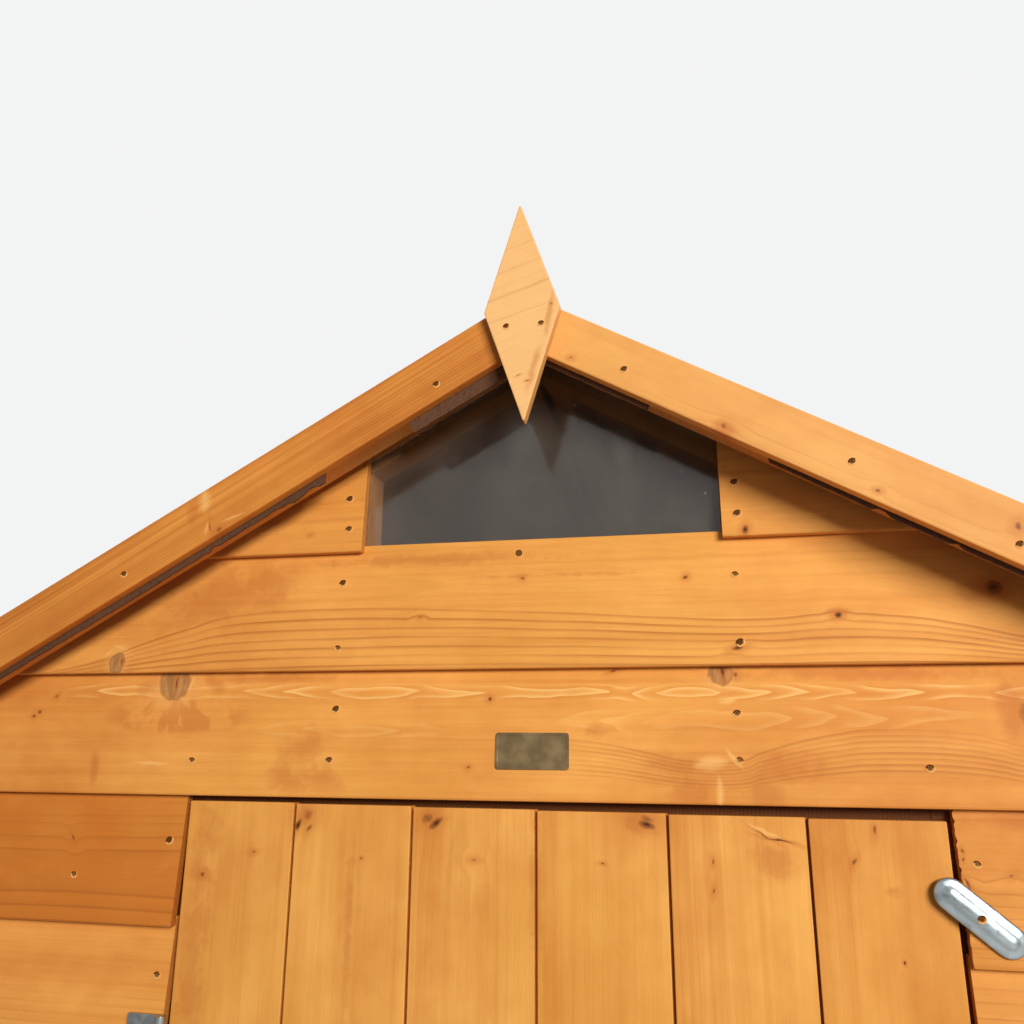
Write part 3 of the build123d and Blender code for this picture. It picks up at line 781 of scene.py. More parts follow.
lay_board(
    "lintel_board", lintel_wood, course_section(13), left_reach, roof_reach,
    heart=(0.0320, -0.0095, 0.0), ring=0.0072, tone=0.36, sway=0.0002, step=0.04,
)
lay_board(
    "sill_board", sill_wood, course_section(14), left_reach, roof_reach,
    heart=(0.018, -0.034, 0.0), ring=0.0088, tone=0.22, sway=0.0002, step=0.04,
)
window_top = eaves_height + (frame_half_width - window_half) * slope - 0.002
for name, start, finish, tone in (
    ("left", left_reach, -window_half, 0.36), ("right", window_half, roof_reach, 0.24),
):
    lay_board(
        f"gable_board_{name}", front_wood, course_section(15, window_top), start, finish,
        heart=(0.004, -0.040, 0.0), ring=0.0090, tone=tone,
    )
back = Boards("back_cladding_boards")
for course in range(gable_courses):
    back.add(back_wall, course_section(course, ridge_height - 0.004), left_reach, roof_reach, sway=0.0005)
back.build(cladding_wood, "shed", "back_cladding")
side_length = frame_half_length + cladding_proud
for place, node in ((left_wall, "left_cladding"), (right_wall, "right_cladding")):
    wall = Boards(f"{node}_boards")
    for course in range(door_courses + 1):
        wall.add(place, course_section(course, 1.557), -side_length, side_length, sway=0.0006, step=0.15)
    wall.build(cladding_wood, "shed", node)


# Corner strips.
# Planed battens nailed over the ends of the side boards at all four corners, in the same
# treatment as the walls and a little paler.
trim_wood = treated_softwood("trim_wood", (250, 182, 98), (212, 128, 54), (170, 94, 36))
dressed_timber("corner_strips", trim_wood, edge=0.0018)


# Window pane.
# A thin sheet of clear plastic behind the boards, dark against the inside of the shed. It
# mirrors the finial and the eaves, through a faint bloom of dust, specks and a smear.
pane = Finish("dusty_pane")
spot = pane.place()
bloom = pane.noise(spot, 9.0, 5.0, 0.6).step(0.32, 0.78, 0.040, 0.100)
bloom += pane.cells(spot, 22.0)[0].step(0.015, 0.045, 0.40, 0.0)
smear = ((spot - (0.084, 0.0, 1.872)) * (60.0, 0.0, 34.0)).length()
bloom += smear.step(0.0, 1.0, 0.20, 0.0) * pane.noise(spot, 90.0)
pane.dress(base_color=(0.42, 0.40, 0.38, 1), roughness=0.11, ior=1.49, transmission_weight=1.0)
daylight = pane.surface("ShaderNodeBsdfTransparent", color=(0.70, 0.69, 0.67, 1))
film = pane.surface(base_color=(188, 174, 154), roughness=0.8)
glazed = pane.blend(pane.ray("Is Shadow Ray"), pane.shader, daylight)
pane.show(pane.blend(bloom.clamped(), glazed, film))
pane_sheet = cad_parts["window_pane"].data
pane_sheet.materials.clear()
pane_sheet.materials.append(pane.material)


# Roof decks and battens.
# Thin boards on sawn battens, dipped in the same treatment and a little browner than the
# walls, and darker still as painted shade under the eaves. They show under the eaves and from inside.
# The deck's deep tones are partly painted shade, for the eaves' underside.
deck_wood = treated_softwood("deck_wood", (196, 124, 64), (150, 86, 40), (120, 66, 28), gloss=0.08)
deck_thickness, deck_boards, deck_joint = 0.011, 9, 0.0006
deck_low, deck_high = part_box("roof_deck_right")
deck_run = (deck_high.x - deck_thickness * sin(pitch)) / cos(pitch)
for side, node in ((-1, "roof_deck_left"), (1, "roof_deck_right")):
    down, out = (side * cos(pitch), 0, -sin(pitch)), (side * sin(pitch), 0, cos(pitch))
    deck = Boards(f"{node}_boards")
    for n in range(deck_boards):
        near = n * deck_run / deck_boards + (deck_joint if n else 0.001)
        far = (n + 1) * deck_run / deck_boards - deck_joint
        near_top = near - (0 if n else deck_thickness * slope)
        section = [(near, 0.0), (far, 0.0), (far, deck_thickness), (near_top, deck_thickness)]
        deck.add(
            facing((0, -side, 0), down, out, (0, 0, ridge_height)), eased(section, (0, 0.0008, 0.0008, 0)),
            deck_low.y, deck_high.y, step=0.4,
        )
    deck.build(deck_wood, "shed", node)
for node in ("roof_battens_left", "roof_battens_right"):
    dressed_timber(node, sawn_wood)


# Roofing felt.
# Bitumen felt with a fine mineral face, rolled over each slope, turned down at the eaves and
# folded over the verge, where its cut edge hangs ragged behind the barge boards.
felt = Finish("mineral_felt")
spot = felt.place()
grit, coarse = felt.noise(spot, 900.0, 2.0, 0.6), felt.noise(spot, 260.0)
weathered = felt.noise(spot, 5.0, 4.0, 0.6)
stain = felt.mix(weathered.step(0.35, 0.70), (80, 50, 32), (98, 64, 42))
stain = felt.mix(grit.step(0.48, 0.66, 0.0, 0.50), stain, (124, 90, 62))
stain = felt.mix(coarse.step(0.58, 0.72, 0.0, 0.5), stain, (52, 38, 30))
felt.dress(
    base_color=stain, roughness=0.92, specular_ior_level=0.25,
    normal=felt.relief(grit + coarse * 0.6, 0.0008, 0.9, felt.relief(weathered, 0.004, 0.5)),
)


def felt_wave(y, reach):
    """How far the felt stands off its deck at a point, where it has not stuck down flat."""
    return 0.0006 * (sin(7 * y + 9 * reach) + sin(13 * y + 31 * reach))


def worked(carrier, name):
    """A mesh as an object's modifiers leave it, with the object removed."""
    graph = bpy.context.evaluated_depsgraph_get()
    data = bpy.data.meshes.new_from_object(carrier.evaluated_get(graph), depsgraph=graph)
    bpy.data.objects.remove(carrier)
    data.name = name
    return data


def felt_sheet(node, profile, ends, foot):
    """A sheet of felt laid down one slope or over the ridge, with flaps folded down at both ends.

    profile gives the sheet's line across the slopes as (x, z, out x, out z, reach), where
    reach is the distance from the ridge. foot gives how far a flap hangs down at that reach,
    on that side and end, or None where there is no flap.
    """
    name, rows, flap_rows = f"{node}_sheet", 36, (0.3, 0.7, 1.0)
    random, mesh, columns = Random(name), bmesh.new(), []
    for n in range(rows + 1):
        y = -ends + 2 * ends * n / rows
        columns.append([])
        for x, z, ox, oz, reach in profile:
            lift = 0.0 if n in (0, rows) else felt_wave(y, reach)
            columns[-1].append(mesh.verts.new((x + ox * lift, y, z + oz * lift)))
    for left, right in zip(columns, columns[1:]):
        for a in range(len(profile) - 1):
            mesh.faces.new((left[a], right[a], right[a + 1], left[a + 1]))
    for column, end in ((columns[0], -1), (columns[-1], 1)):
        hanging = []
        for fold, (x, z, ox, oz, reach) in zip(column, profile):
            deep = foot(reach, 1 if x > 0 else -1, end)
            hanging.append(None)
            if deep is not None:
                deep += random.uniform(-0.0004, 0.0004)
                hanging[-1] = [fold]
                for drop in (share * deep for share in flap_rows):
                    hanging[-1].append(mesh.verts.new((x - ox * drop, end * (ends + 0.0006), z - oz * drop)))
        for a, b in zip(hanging, hanging[1:]):
            for p in range(len(flap_rows) if a and b else 0):
                mesh.faces.new((a[p], b[p], b[p + 1], a[p + 1]))
    bmesh.ops.recalc_face_normals(mesh, faces=mesh.faces)
    if sum(face.normal.z for face in mesh.faces) < 0:
        bmesh.ops.reverse_faces(mesh, faces=mesh.faces)
    carrier = in_scene(name, mesh_data(name, mesh))
    solid = carrier.modifiers.new("thickness", "SOLIDIFY")
    solid.thickness, solid.offset = 0.0022, 1.0
    piece_of(name, worked(carrier, name), felt.material, "shed", [node], sharp=45)


def slope_point(side, along, above):
    """A point on a roof slope: its x and z, and the slope's outward direction there."""
    x = side * (along * cos(pitch) + above * sin(pitch))
    z = ridge_height - along * sin(pitch) + above * cos(pitch)
    return x, z, side * sin(pitch), cos(pitch)


felt_thickness, cap_reach, verge_half = 0.003, 0.150, deck_high.y
felt_level = deck_thickness + 0.0004
barge_bottom = deck_thickness + 0.004 - 0.048


def felt_foot(reach, side, end):
    """The slope felt's flap: hidden near the ridge, then a ragged start and a straight run."""
    if reach < cap_reach + 0.004 or reach > deck_run + 0.0004:
        return None
    if end > 0:
        below = 0.004 + 0.0012 * sin(23 * reach + side)
    elif reach < (0.263 if side > 0 else 0.246):
        below = -0.004
    elif side > 0:
        torn = 0.361 < reach < 0.372 or 0.428 < reach < 0.434
        below = 0.0034 + 0.0005 * sin(19 * reach) - (0.0026 if torn else 0.0)
    elif reach < 0.300:
        below = (0.0068, 0.0048, 0.0062, 0.0074, 0.0056)[int((reach - 0.246) / 0.011) % 5]
    elif 0.372 < reach < 0.388:
        below = (0.0030, 0.0066)[int((reach - 0.372) / 0.008) % 2]
    else:
        below = 0.0052 + 0.0006 * sin(17 * reach)
    return felt_level - barge_bottom + below


def cap_foot(reach, side, end):
    """The ridge capping's flap: deeper than the slope felt's, and cut square at its ends."""
    below = {(-1, -1): 0.0120, (1, -1): 0.0040, (-1, 1): 0.0080, (1, 1): 0.0095}[side, end]
    return felt_level + felt_thickness - barge_bottom + below


for side, node in ((-1, "roof_felt_left"), (1, "roof_felt_right")):
    line = []
    for n in range(151):
        along = 0.02 + (deck_run + 0.0006 - 0.02) * n / 150
        line.append((*slope_point(side, along, felt_level), along))
    for drop in (0.006, 0.018, 0.027):
        x, z, _, _ = slope_point(side, deck_run + 0.0008, deck_thickness - drop)
        line.append((x, z, side * cos(pitch), -sin(pitch), deck_run + 0.01))
    felt_sheet(node, line, verge_half + 0.0004, felt_foot)
cap_line = []
for side in (-1, 1):
    reaches = [0.004] + [cap_reach * n / 13 for n in range(1, 14)]
    half = [(*slope_point(side, along, felt_level + felt_thickness), along) for along in reaches]
    cap_line += half[::-1] if side < 0 else half
felt_sheet("ridge_felt_cap", cap_line, verge_half + 0.0010, cap_foot)


# Barge boards.
# Planed boards mitred at the peak and screwed to the roof's ends. The left one is closely
# ringed and darker, the right one broad-ringed and pale, as they came from two logs.
barge_left_wood = treated_softwood(
    "barge_left_wood", (236, 152, 68), (188, 104, 38), (140, 72, 24), stray_knots=False,
    wander=0.0040, lines=0.44, patchy=0.60, streaks=0.60, banded=0.50, saw_marks=0.10,
    knots=(
        (-298.3, 1785.2, 6.4, 4.6, 0.5, 0.6), (-308.5, 1788, 1, 7, 0.2, 0.5),
    ),
    stains=(
        (-328, 1802, 6, 13, 0), (-302, 1783, 10, 8, 0.5),
    ),
    flames=(
        (-316.5, 1815, 15, 9, 1.62), (-285, 1796, 17, 1.4, 0.35), (-312, 1787, 9, 1.6, 1.4),
    ),
)
barge_right_wood = treated_softwood(
    "barge_right_wood", (248, 180, 98), (216, 138, 64), (186, 110, 46), stray_knots=False,
    wander=0.0040, lines=0.32, patchy=0.75, gloss=0.22,
    knots=(
        (178.5, 1856.6, 5, 3.6, -0.5, 0.5), (44.6, 1933.5, 3.4, 2.6, 0, 0.6),
        (299.6, 1791.5, 3.4, 2.4, 0, 0.45), (400, 1756, 4.6, 6, -0.4, 0.5),
        (290.9, 1874, 4, 1.6, -0.5, 0.4),
    ),
    stains=(
        (180, 1852, 12, 10, -0.5),
    ),
)
for side, wood, ring, tone, heart in (
    ("left", barge_left_wood, 0.0030, 0.5, (-0.034, 0.030)),
    ("right", barge_right_wood, 0.0075, 0.25, (0.010, 0.045)),
):
    dressed_timber(
        f"barge_board_front_{side}", wood, edge=0.0016, ring=ring, tone=tone, knotty=0.0, hearts=(heart,),
    )
dressed_timber("barge_boards_back", trim_wood, edge=0.0016)


# Finials.
# Diamonds cut from planed board, with the grain running across them and a little uphill,
# screwed through to the mitre of the barge boards.
finial_wood = treated_softwood(
    "finial_wood", (248, 194, 126), (240, 168, 98), (178, 112, 54), stray_knots=False,
    wander=0.003, lines=0.34, patchy=0.22, streaks=0.06, banded=0.10, mellow=0.06,
    rings=(1.76, 10, 0.60, 9.0, -0.9, ((-0.05, 1.9885), (0.05, 2.0193))),
    stains=(
        (12, 1925, 4, 26, -0.3), (26, 1975, 3, 22, -0.16),
    ),
    knots=(
        (28, 1985, 1.6, 1.2, 0, 0.4), (-3, 1915, 2.4, 0.8, 0.3, 0.5), (5, 1909, 2.4, 0.8, 0.3, 0.5),
    ),
)
for node in ("finial_front", "finial_back"):
    dressed_timber(
        node, finial_wood, edge=0.0016, along=(0.945, 0, 0.326), ring=0.017, tone=0.15, knotty=0.0,
        hearts=((0.004, 0.060),),
    )


# Door.
# Six planed boards, tongued together, on three ledges and two braces. The boards are the
# palest wood on the shed, with dark dead knots near the head.
door_wood = treated_softwood(
    "door_wood", (246, 176, 88), (212, 130, 54), (172, 98, 38), wander=0.006, lines=0.16,
    patchy=0.95, streaks=0.34, banded=0.60, mellow=0.36,
    knots=(
        (-223.5, 1513.4, 2.6, 5.8, -0.35), (-211.9, 1511.1, 3, 6, -0.6, 0.45),
        (-215, 1523.5, 13, 11, 0, 0.74), (-91, 1518.1, 6.6, 3, 0.5),
        (-98.5, 1521.5, 13, 8.5, 0.4, 0.62), (96.5, 1520.6, 6.6, 3, -0.3),
        (96.5, 1525, 12, 7.5, -0.2, 0.64), (206, 1510.5, 12, 0.9, -0.2, 0.1),
        (193, 1515, 10, 0.7, -0.55, 0.3), (-267.1, 1488.8, 5, 2.4, 0, 0.75),
        (-316, 1468.2, 4, 3.6, 0.4, 0.45), (-160.7, 1486.7, 1.7, 1.5, 0, 0.25),
        (-55.3, 1488.1, 5, 2.6, 0, 0.75), (58.4, 1488.3, 3, 1.4, 0, 0.45),
        (280.8, 1520.9, 2.2, 6, -0.1, 0.5), (262.3, 1496, 2.2, 5, -0.5, 0.5),
        (150, 1493, 1.6, 3.6, 0, 0.5), (150, 1470, 1.6, 4.6, -0.2, 0.5),
    ),
    stains=(
        (-318, 1400, 20, 400, 0, 0.3), (-170, 1440, 6, 120, 0, 0.3), (1, 1470, 10, 100, 0, 0.4),
        (-218, 1523, 8, 10, 0), (-95, 1524, 12, 10, 0.4), (85, 1522, 14, 11, 0),
        (200, 1496, 20, 14, -0.3), (290, 1475, 8, 5, 0), (-315, 1472, 8, 6, 0),
    ),
    flames=(
        (193, 1518, 20, 2.4, -0.42),
    ),
)
door_low, door_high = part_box("door_boards")
door = Boards("door_boards_tongued")
seams = [door_low.x, -0.228, -0.114, 0.0, 0.114, 0.228, door_high.x]
door_thick, joint, tongue = 0.012, 0.0011, (0.0035, 0.0070)


def seam_darkening(v, w):
    """Darker faces inside the joints between the door's boards."""
    near_seam = min(abs(-v - x) for x in seams[1:6]) < 0.004
    return 1.15 if near_seam and 0.002 < w < door_thick - 0.0004 else 0.0


for n, (left, right) in enumerate(zip(seams, seams[1:])):
    near = left + (joint if n else 0.0)
    far = right - (joint if n < 5 else 0.0)
    corners = [(-far, 0.0), (-near, 0.0), (-near, door_thick), (-far, door_thick)]
    if n < 5:
        tip = -far - 1.8 * joint
        corners += [(-far, tongue[1]), (tip, tongue[1]), (tip, tongue[0]), (-far, tongue[0])]
    door.add(
        facing(up, (-1, 0, 0), (0, -1, 0), (0, door_high.y, 0)),
        eased(corners, [0.0, 0.0, 0.0009, 0.0009] + [0.0] * (len(corners) - 4)), door_low.z,
        door_high.z - 0.0009 * n, knotty=0.5, tone=(0.36, 0.24, 0.20, 0.48, 0.60, 0.60)[n], darkening=seam_darkening,
    )
door.build(door_wood, "door", "door_boards")
for node in ("door_ledges", "door_braces"):
    dressed_timber(node, sawn_wood, body="door", edge=0.002)


# Hinges.
# Two zinc-plated strap hinges on the left: the plates and pins are screwed to the wall and
# the cranked straps to the door.
def zinc(name, tone=(150, 152, 150)):
    """Zinc plating, with its faint patches of crystals."""
    g = Finish(name)
    spot = g.place()
    light = g.cells(spot, 160.0)[1].split()[0] * 0.25 + g.noise(spot, 40.0, 3.0) * 0.75
    dark, bright = (tuple(min(255, v * share) for v in tone) for share in (0.72, 1.25))
    g.dress(
        base_color=g.mix(light, dark, bright), roughness=light.step(0.2, 0.8, 0.24, 0.42), metallic=0.95,
        normal=g.relief(g.noise(spot, 300.0), 0.0002, 0.5),
    )
    return g.material


zinc_plate = zinc("zinc_plate")
for node, body in (("hinge_plates", "shed"), ("hinge_straps", "door")):
    dressed_timber(node, zinc_plate, body=body, edge=0.0004)


# Turn buttons.
# Pressed zinc buttons with round ends and a raised rib, each on one screw in the wall's
# boards. The upper one leans over the door's edge and holds it; the lower one is turned clear.
bright_zinc = zinc("bright_zinc", (150, 158, 160))
button_back = -frame_half_length - cladding_proud - 0.0003
for node, body in (("turn_button_upper", "upper_button"), ("turn_button_lower", "shed")):
    low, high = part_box(node)
    middle = (low + high) / 2
    reach, radius = 0.0375, 0.0125
    tilt = atan2(high.x - low.x - 2 * radius, high.z - low.z - 2 * radius)
    mesh, loops = bmesh.new(), []
    for inset, rise in (
        (0.0, 0.0), (0.0, 0.0011), (0.0006, 0.0019), (0.0022, 0.0026), (0.0048, 0.0029), (0.0066, 0.0034),
        (0.0078, 0.0044), (0.0096, 0.0050), (0.0120, 0.0052),
    ):
        loops.append([])
        for n in range(26):
            end, angle = (1 if n < 13 else -1), pi * (n % 13) / 12
            x = end * (radius - inset) * cos(angle)
            z = end * (reach - radius + (radius - inset) * sin(angle))
            across, upwards = x * cos(tilt) - z * sin(tilt), x * sin(tilt) + z * cos(tilt)
            loops[-1].append(mesh.verts.new((middle.x + across, button_back - rise, middle.z + upwards)))
    skin(mesh, loops)
    boss = Matrix.Translation((middle.x, button_back + 0.0013, middle.z)) @ Matrix.Rotation(pi / 2, 4, "X")
    bmesh.ops.create_cone(
        mesh, cap_ends=True, segments=24, radius1=0.006, radius2=0.006, depth=0.0024, matrix=boss,
    )
    bmesh.ops.remove_doubles(mesh, verts=mesh.verts, dist=1e-6)
    bmesh.ops.recalc_face_normals(mesh, faces=mesh.faces)
    piece_of(f"{node}_pressed", mesh, bright_zinc, body, [node], sharp=50)


# Lintel plate.
# A small brass plate, left bare, pinned to the lintel board over the door. It is brushed
# along its length, a little tarnished, and has a fine raised rim.
def face_out(height):
    """How far the cladding's outer face stands out from the studs at a height."""
    return cladding_proud - lean * ((height - cladding_bottom) % board_cover)


brass = Finish("plate_brass")
spot = brass.place()
brushed, patina = brass.noise(spot * (30.0, 30.0, 900.0), 1.0, 3.0), brass.noise(spot, 60.0, 3.0)
brass.dress(
    base_color=brass.mix(patina.step(0.35, 0.65), (100, 80, 48), (126, 104, 68)),
    roughness=brushed.step(0.3, 0.7, 0.42, 0.60), metallic=0.55, normal=brass.relief(brushed, 0.0001, 0.4),
)
plate_x, plate_z = -0.003, door_head + 0.043
wide, tall, thick = 0.0335, 0.0160, 0.0012
outline = eased([(-wide, -tall), (wide, -tall), (wide, tall), (-wide, tall)], (0.0025,) * 4)
mesh, loops = bmesh.new(), []
for inset, rise in ((0, 0), (0, thick - 0.0003), (0.0003, thick), (0.0022, thick), (0.0025, thick - 0.0002)):
    loops.append([])
    for x, z in outline:
        x, z = x - copysign(inset, x), z - copysign(inset, z)
        y = -frame_half_length - face_out(plate_z) + lean * z - rise
        loops[-1].append(mesh.verts.new((plate_x + x, y, plate_z + z)))
skin(mesh, loops)
bmesh.ops.recalc_face_normals(mesh, faces=mesh.faces)
piece_of("lintel_plate", mesh, brass.material, "shed")


# Screws and nails.
# Countersunk screws hold the gable's boards, barge boards, finials and hinges; nails hold
# the rest of the cladding. Each head sits in a ring of torn fibres. A sunk screw head's upper
# side is painted shadow and its lower rim is painted pale, as a painted lit edge; the ring round
# a nail head and the cross in a screw head are painted shadow.
def head_template(name, radius, profile, cross=False):
    """One fixing's head, looking along +Z: a dish with torn fibres under it, and maybe a cross.

    profile gives loops of (share of the radius, rise) and, for the faces up to each, what
    they are on the upper and the lower side: 0 pale torn wood, 0.5 painted shadow, 1 metal.
    The upper side's 0.5 is painted shade in the sunk head, and the lower side's pale wood is
    also a painted lit rim.
    """
    mesh, count = bmesh.new(), 16
    part = mesh.faces.layers.float.new("part")
    turns = [2 * pi * n / count for n in range(count)]
    loops = []
    for share, rise, _, _ in profile:
        loops.append([])
        for turn in turns:
            reach = 1 + (share - 1) * (1 - sin(turn)) / 2 if cross and share > 1 else share
            x, y = reach * radius * cos(turn), reach * radius * sin(turn) * (0.88 if cross else 1)
            loops[-1].append(mesh.verts.new((x, y, rise)))
    sides, (back, top) = skin(mesh, loops)
    for n, face in enumerate(sides):
        upper, lower = profile[1 + n // count][2:]
        # Upper faces take painted shadow, lower ones a pale rim painted as lit.
        face[part] = upper if sin(turns[n % count] + pi / count) > -0.15 else lower
    top[part] = 1.0
    back.normal_flip()
    for wide, high, lift in ((0.72, 0.24, 0.00016), (0.24, 0.72, 0.00017)) if cross else ():
        shape = Matrix.Diagonal((wide * radius, high * radius, lift, 1))
        bar = bmesh.ops.create_cube(mesh, size=1, matrix=Matrix.Translation((0, 0, lift / 2)) @ shape)
        for face in {face for corner in bar["verts"] for face in corner.link_faces}:
            face[part] = 0.5
    return in_scene(name, mesh_data(name, mesh))


def fixing_finish(name, metal, dark, torn, shine=0.1, gloss=0.2):
    """A fixing's look by its parts: torn wood round it, which also paints a lit rim, painted shadow in its
    cross and sunk head, and its metal.
    """
    g = Finish(name)
    part = g.attribute("part")
    worn = g.mix(g.attribute("stained"), metal, dark)
    g.dress(
        base_color=g.mix(part.step(0.7, 0.8), g.mix(part.step(0.2, 0.3), torn, dark), worn),
        roughness=g.noise(g.place(), 900.0).step(0.3, 0.7, 0.45, 0.75), specular_ior_level=gloss,
        metallic=part.step(0.7, 0.8, 0.0, shine) if shine else 0.0,
    )
    return g.material


def fixing_tree():
    """Geometry Nodes: one head on each point, turned to face out and spun at random."""
    tree = bpy.data.node_groups.new("set_fixings", "GeometryNodeTree")
    for name, kind, value in (
        ("Geometry", "Geometry", None), ("Head", "Object", None), ("Head Scale", "Float", 1.0),
        ("Scale Spread", "Float", 0.08), ("Seed", "Int", 3), ("Finish", "Material", None),
    ):
        socket = tree.interface.new_socket(name=name, in_out="INPUT", socket_type=f"NodeSocket{kind}")
        if value:
            socket.default_value = value
    tree.interface.new_socket(name="Geometry", in_out="OUTPUT", socket_type="NodeSocketGeometry")

    g = Graph(tree)
    given = {socket.name: Field(g, socket) for socket in g.node("NodeGroupInput").outputs}

    def drawn(low, high):
        inputs = {2: low, 3: high, "Seed": given["Seed"]}
        return g.made("FunctionNodeRandomValue", inputs, 1, data_type="FLOAT")

    name = {"Name": "outward"}
    outward = g.made("GeometryNodeInputNamedAttribute", name, "Attribute", data_type="FLOAT_VECTOR")
    aim = g.made("FunctionNodeAlignRotationToVector", {"Vector": outward}, axis="Z")
    twist = g.made("FunctionNodeAxisAngleToRotation", {"Axis": up, "Angle": drawn(-0.6, 0.6)})
    turn = g.made("FunctionNodeRotateRotation", {0: aim, 1: twist}, rotation_space="LOCAL")
    size, spread = given["Head Scale"], given["Scale Spread"]
    heads = g.made("GeometryNodeInstanceOnPoints", {
        "Points": given["Geometry"], "Rotation": turn, "Scale": drawn(size - spread, size + spread),
        "Instance": g.made("GeometryNodeObjectInfo", {"Object": given["Head"]}, "Geometry"),
    })
    stained = g.made(
        "GeometryNodeStoreNamedAttribute", {"Geometry": heads, "Name": "stained", "Value": drawn(0.0, 0.9)},
        data_type="FLOAT", domain="INSTANCE",
    )
    real = g.made("GeometryNodeRealizeInstances", {0: stained})
    finished = g.made("GeometryNodeSetMaterial", {"Geometry": real, "Material": given["Finish"]})
    g.feed(g.node("NodeGroupOutput").inputs[0], finished)
    return tree


fixings = fixing_tree()


def set_fixings(name, spots, template, material, body="shed", scale=1.0, spread=0.08):
    """Puts a head on each (point, outward) of spots and makes them one plain mesh."""
    data = bpy.data.meshes.new(name)
    data.from_pydata([tuple(point) for point, _ in spots], [], [])
    outward = data.attributes.new("outward", "FLOAT_VECTOR", "POINT")
    for n, (_, direction) in enumerate(spots):
        outward.data[n].vector = Vector(direction).normalized()
    carrier = in_scene(name, data)
    nodes = carrier.modifiers.new("fixings", "NODES")
    nodes.node_group = fixings
    values = {"Head": template, "Head Scale": scale, "Scale Spread": spread, "Seed": 3, "Finish": material}
    for socket in fixings.interface.items_tree:
        if socket.in_out == "INPUT" and socket.name in values:
            nodes[socket.identifier] = values[socket.name]
    piece = in_scene(name, worked(carrier, name))
    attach(piece, body)


screw_head = head_template("screw_head", 0.0031, (
    (1.42, -0.0004, 0, 0), (1.42, 0.0, 0, 0), (1.20, 0.00034, 0, 0), (1.04, 0.00030, 0.5, 0),
    (0.86, 0.00010, 0.5, 0), (0.54, 0.00012, 0.5, 1),
), cross=True)
nail_head = head_template("nail_head", 0.0022, (
    (1.35, -0.0004, 0, 0), (1.35, 0.0, 0, 0), (1.15, 0.00012, 0, 0), (1.02, 0.00004, 0.5, 0.5),
    (0.96, 0.00012, 1, 1), (0.60, 0.00014, 1, 1),
))
screw_finish = fixing_finish("screw_finish", (188, 132, 66), (88, 48, 16), (240, 172, 98), 0.0, 0.04)
nail_finish = fixing_finish("nail_finish", (92, 70, 46), (48, 28, 14), (206, 140, 76))
clout_finish = fixing_finish("clout_finish", (150, 150, 146), (58, 50, 44), (70, 54, 42), shine=0.7)
front, rear = (0, -1, 0), (0, 1, 0)


def on_wall(wall, along, height, lift=0.0001):
    """A point on the face of a wall's cladding, and the way that face looks."""
    return wall @ Vector((along, height, face_out(height) + lift)), wall.to_3x3() @ Vector((0, lean, 1))


def on_front(x, height):
    return on_wall(front_wall, x, height, 0.0002)


def course_line(course, rise=0.030):
    """The height of a line of fixings over the foot of a course."""
    return cladding_bottom + course * board_cover + rise


gable_spots = (
    (-0.1905, 1.8260), (-0.1887, 1.7940), (0.1873, 1.8225), (0.1880, 1.7921), (-0.1938, 1.7403),
    (-0.1930, 1.6757), (0.1831, 1.7364), (0.1834, 1.6747), (-0.1933, 1.6184), (-0.1958, 1.5717),
    (0.1773, 1.6140), (0.1773, 1.5749), (-0.3371, 1.5705), (0.3273, 1.5699), (-0.4506, 1.4641),
    (0.728, 1.5699), (-0.728, 1.5699),
)
set_fixings("gable_screws", [on_front(*spot) for spot in gable_spots], screw_head, screw_finish, spread=0.14)
set_fixings("sill_nail", [on_front(-0.0164, 1.7641)], nail_head, screw_finish, scale=1.3)
door_side_screws = [
    on_front(side * x + (0.0015 if course % 2 else 0.0), course_line(course, 0.0752))
    for side in (-1, 1) for course in range(door_courses) for x in (0.3545, 0.728)
]
set_fixings("front_cladding_screws", door_side_screws, screw_head, screw_finish, spread=0.14)
hinge_lows = (0.217, 1.261)
plate_face, strap_face = -1.0667, -1.0611
plate_screws, strap_screws = [], []
for low in hinge_lows:
    plate_screws += [((-0.3610, plate_face, low + rise), front) for rise in (0.012, 0.035, 0.055, 0.078)]
    strap_screws += [((x, strap_face, low + 0.045), front) for x in (-0.300, -0.240, -0.180, -0.120)]
set_fixings("hinge_plate_screws", plate_screws, screw_head, clout_finish, scale=0.9)
set_fixings("hinge_strap_screws", strap_screws, screw_head, clout_finish, "door", scale=0.9)

ledge_nails, middle_ledge = [], 0.784
for height in (0.262, middle_ledge, 1.306):
    for left, right in zip(seams, seams[1:]):
        for share, rise in ((0.3, -0.022), (0.7, 0.022)):
            x = left + (right - left) * share
            if x > -0.08 or height == middle_ledge:
                ledge_nails.append(((x, door_low.y - 0.0001, height + rise), front))
set_fixings("ledge_nails", ledge_nails, nail_head, nail_finish, "door")

wall_nails = [
    on_wall(back_wall, -x, course_line(course)) for course in range(gable_courses)
    for x in (-0.728, -0.238, 0.238, 0.728) if abs(x) < roof_reach(course_line(course)) - 0.02
]
for wall, turned in ((left_wall, -1), (right_wall, 1)):
    for course in range(door_courses):
        for y in (-0.993, -0.4965, 0.0, 0.4965, 0.993):
            wall_nails.append(on_wall(wall, turned * y, course_line(course)))
set_fixings("cladding_nails", wall_nails, nail_head, nail_finish)

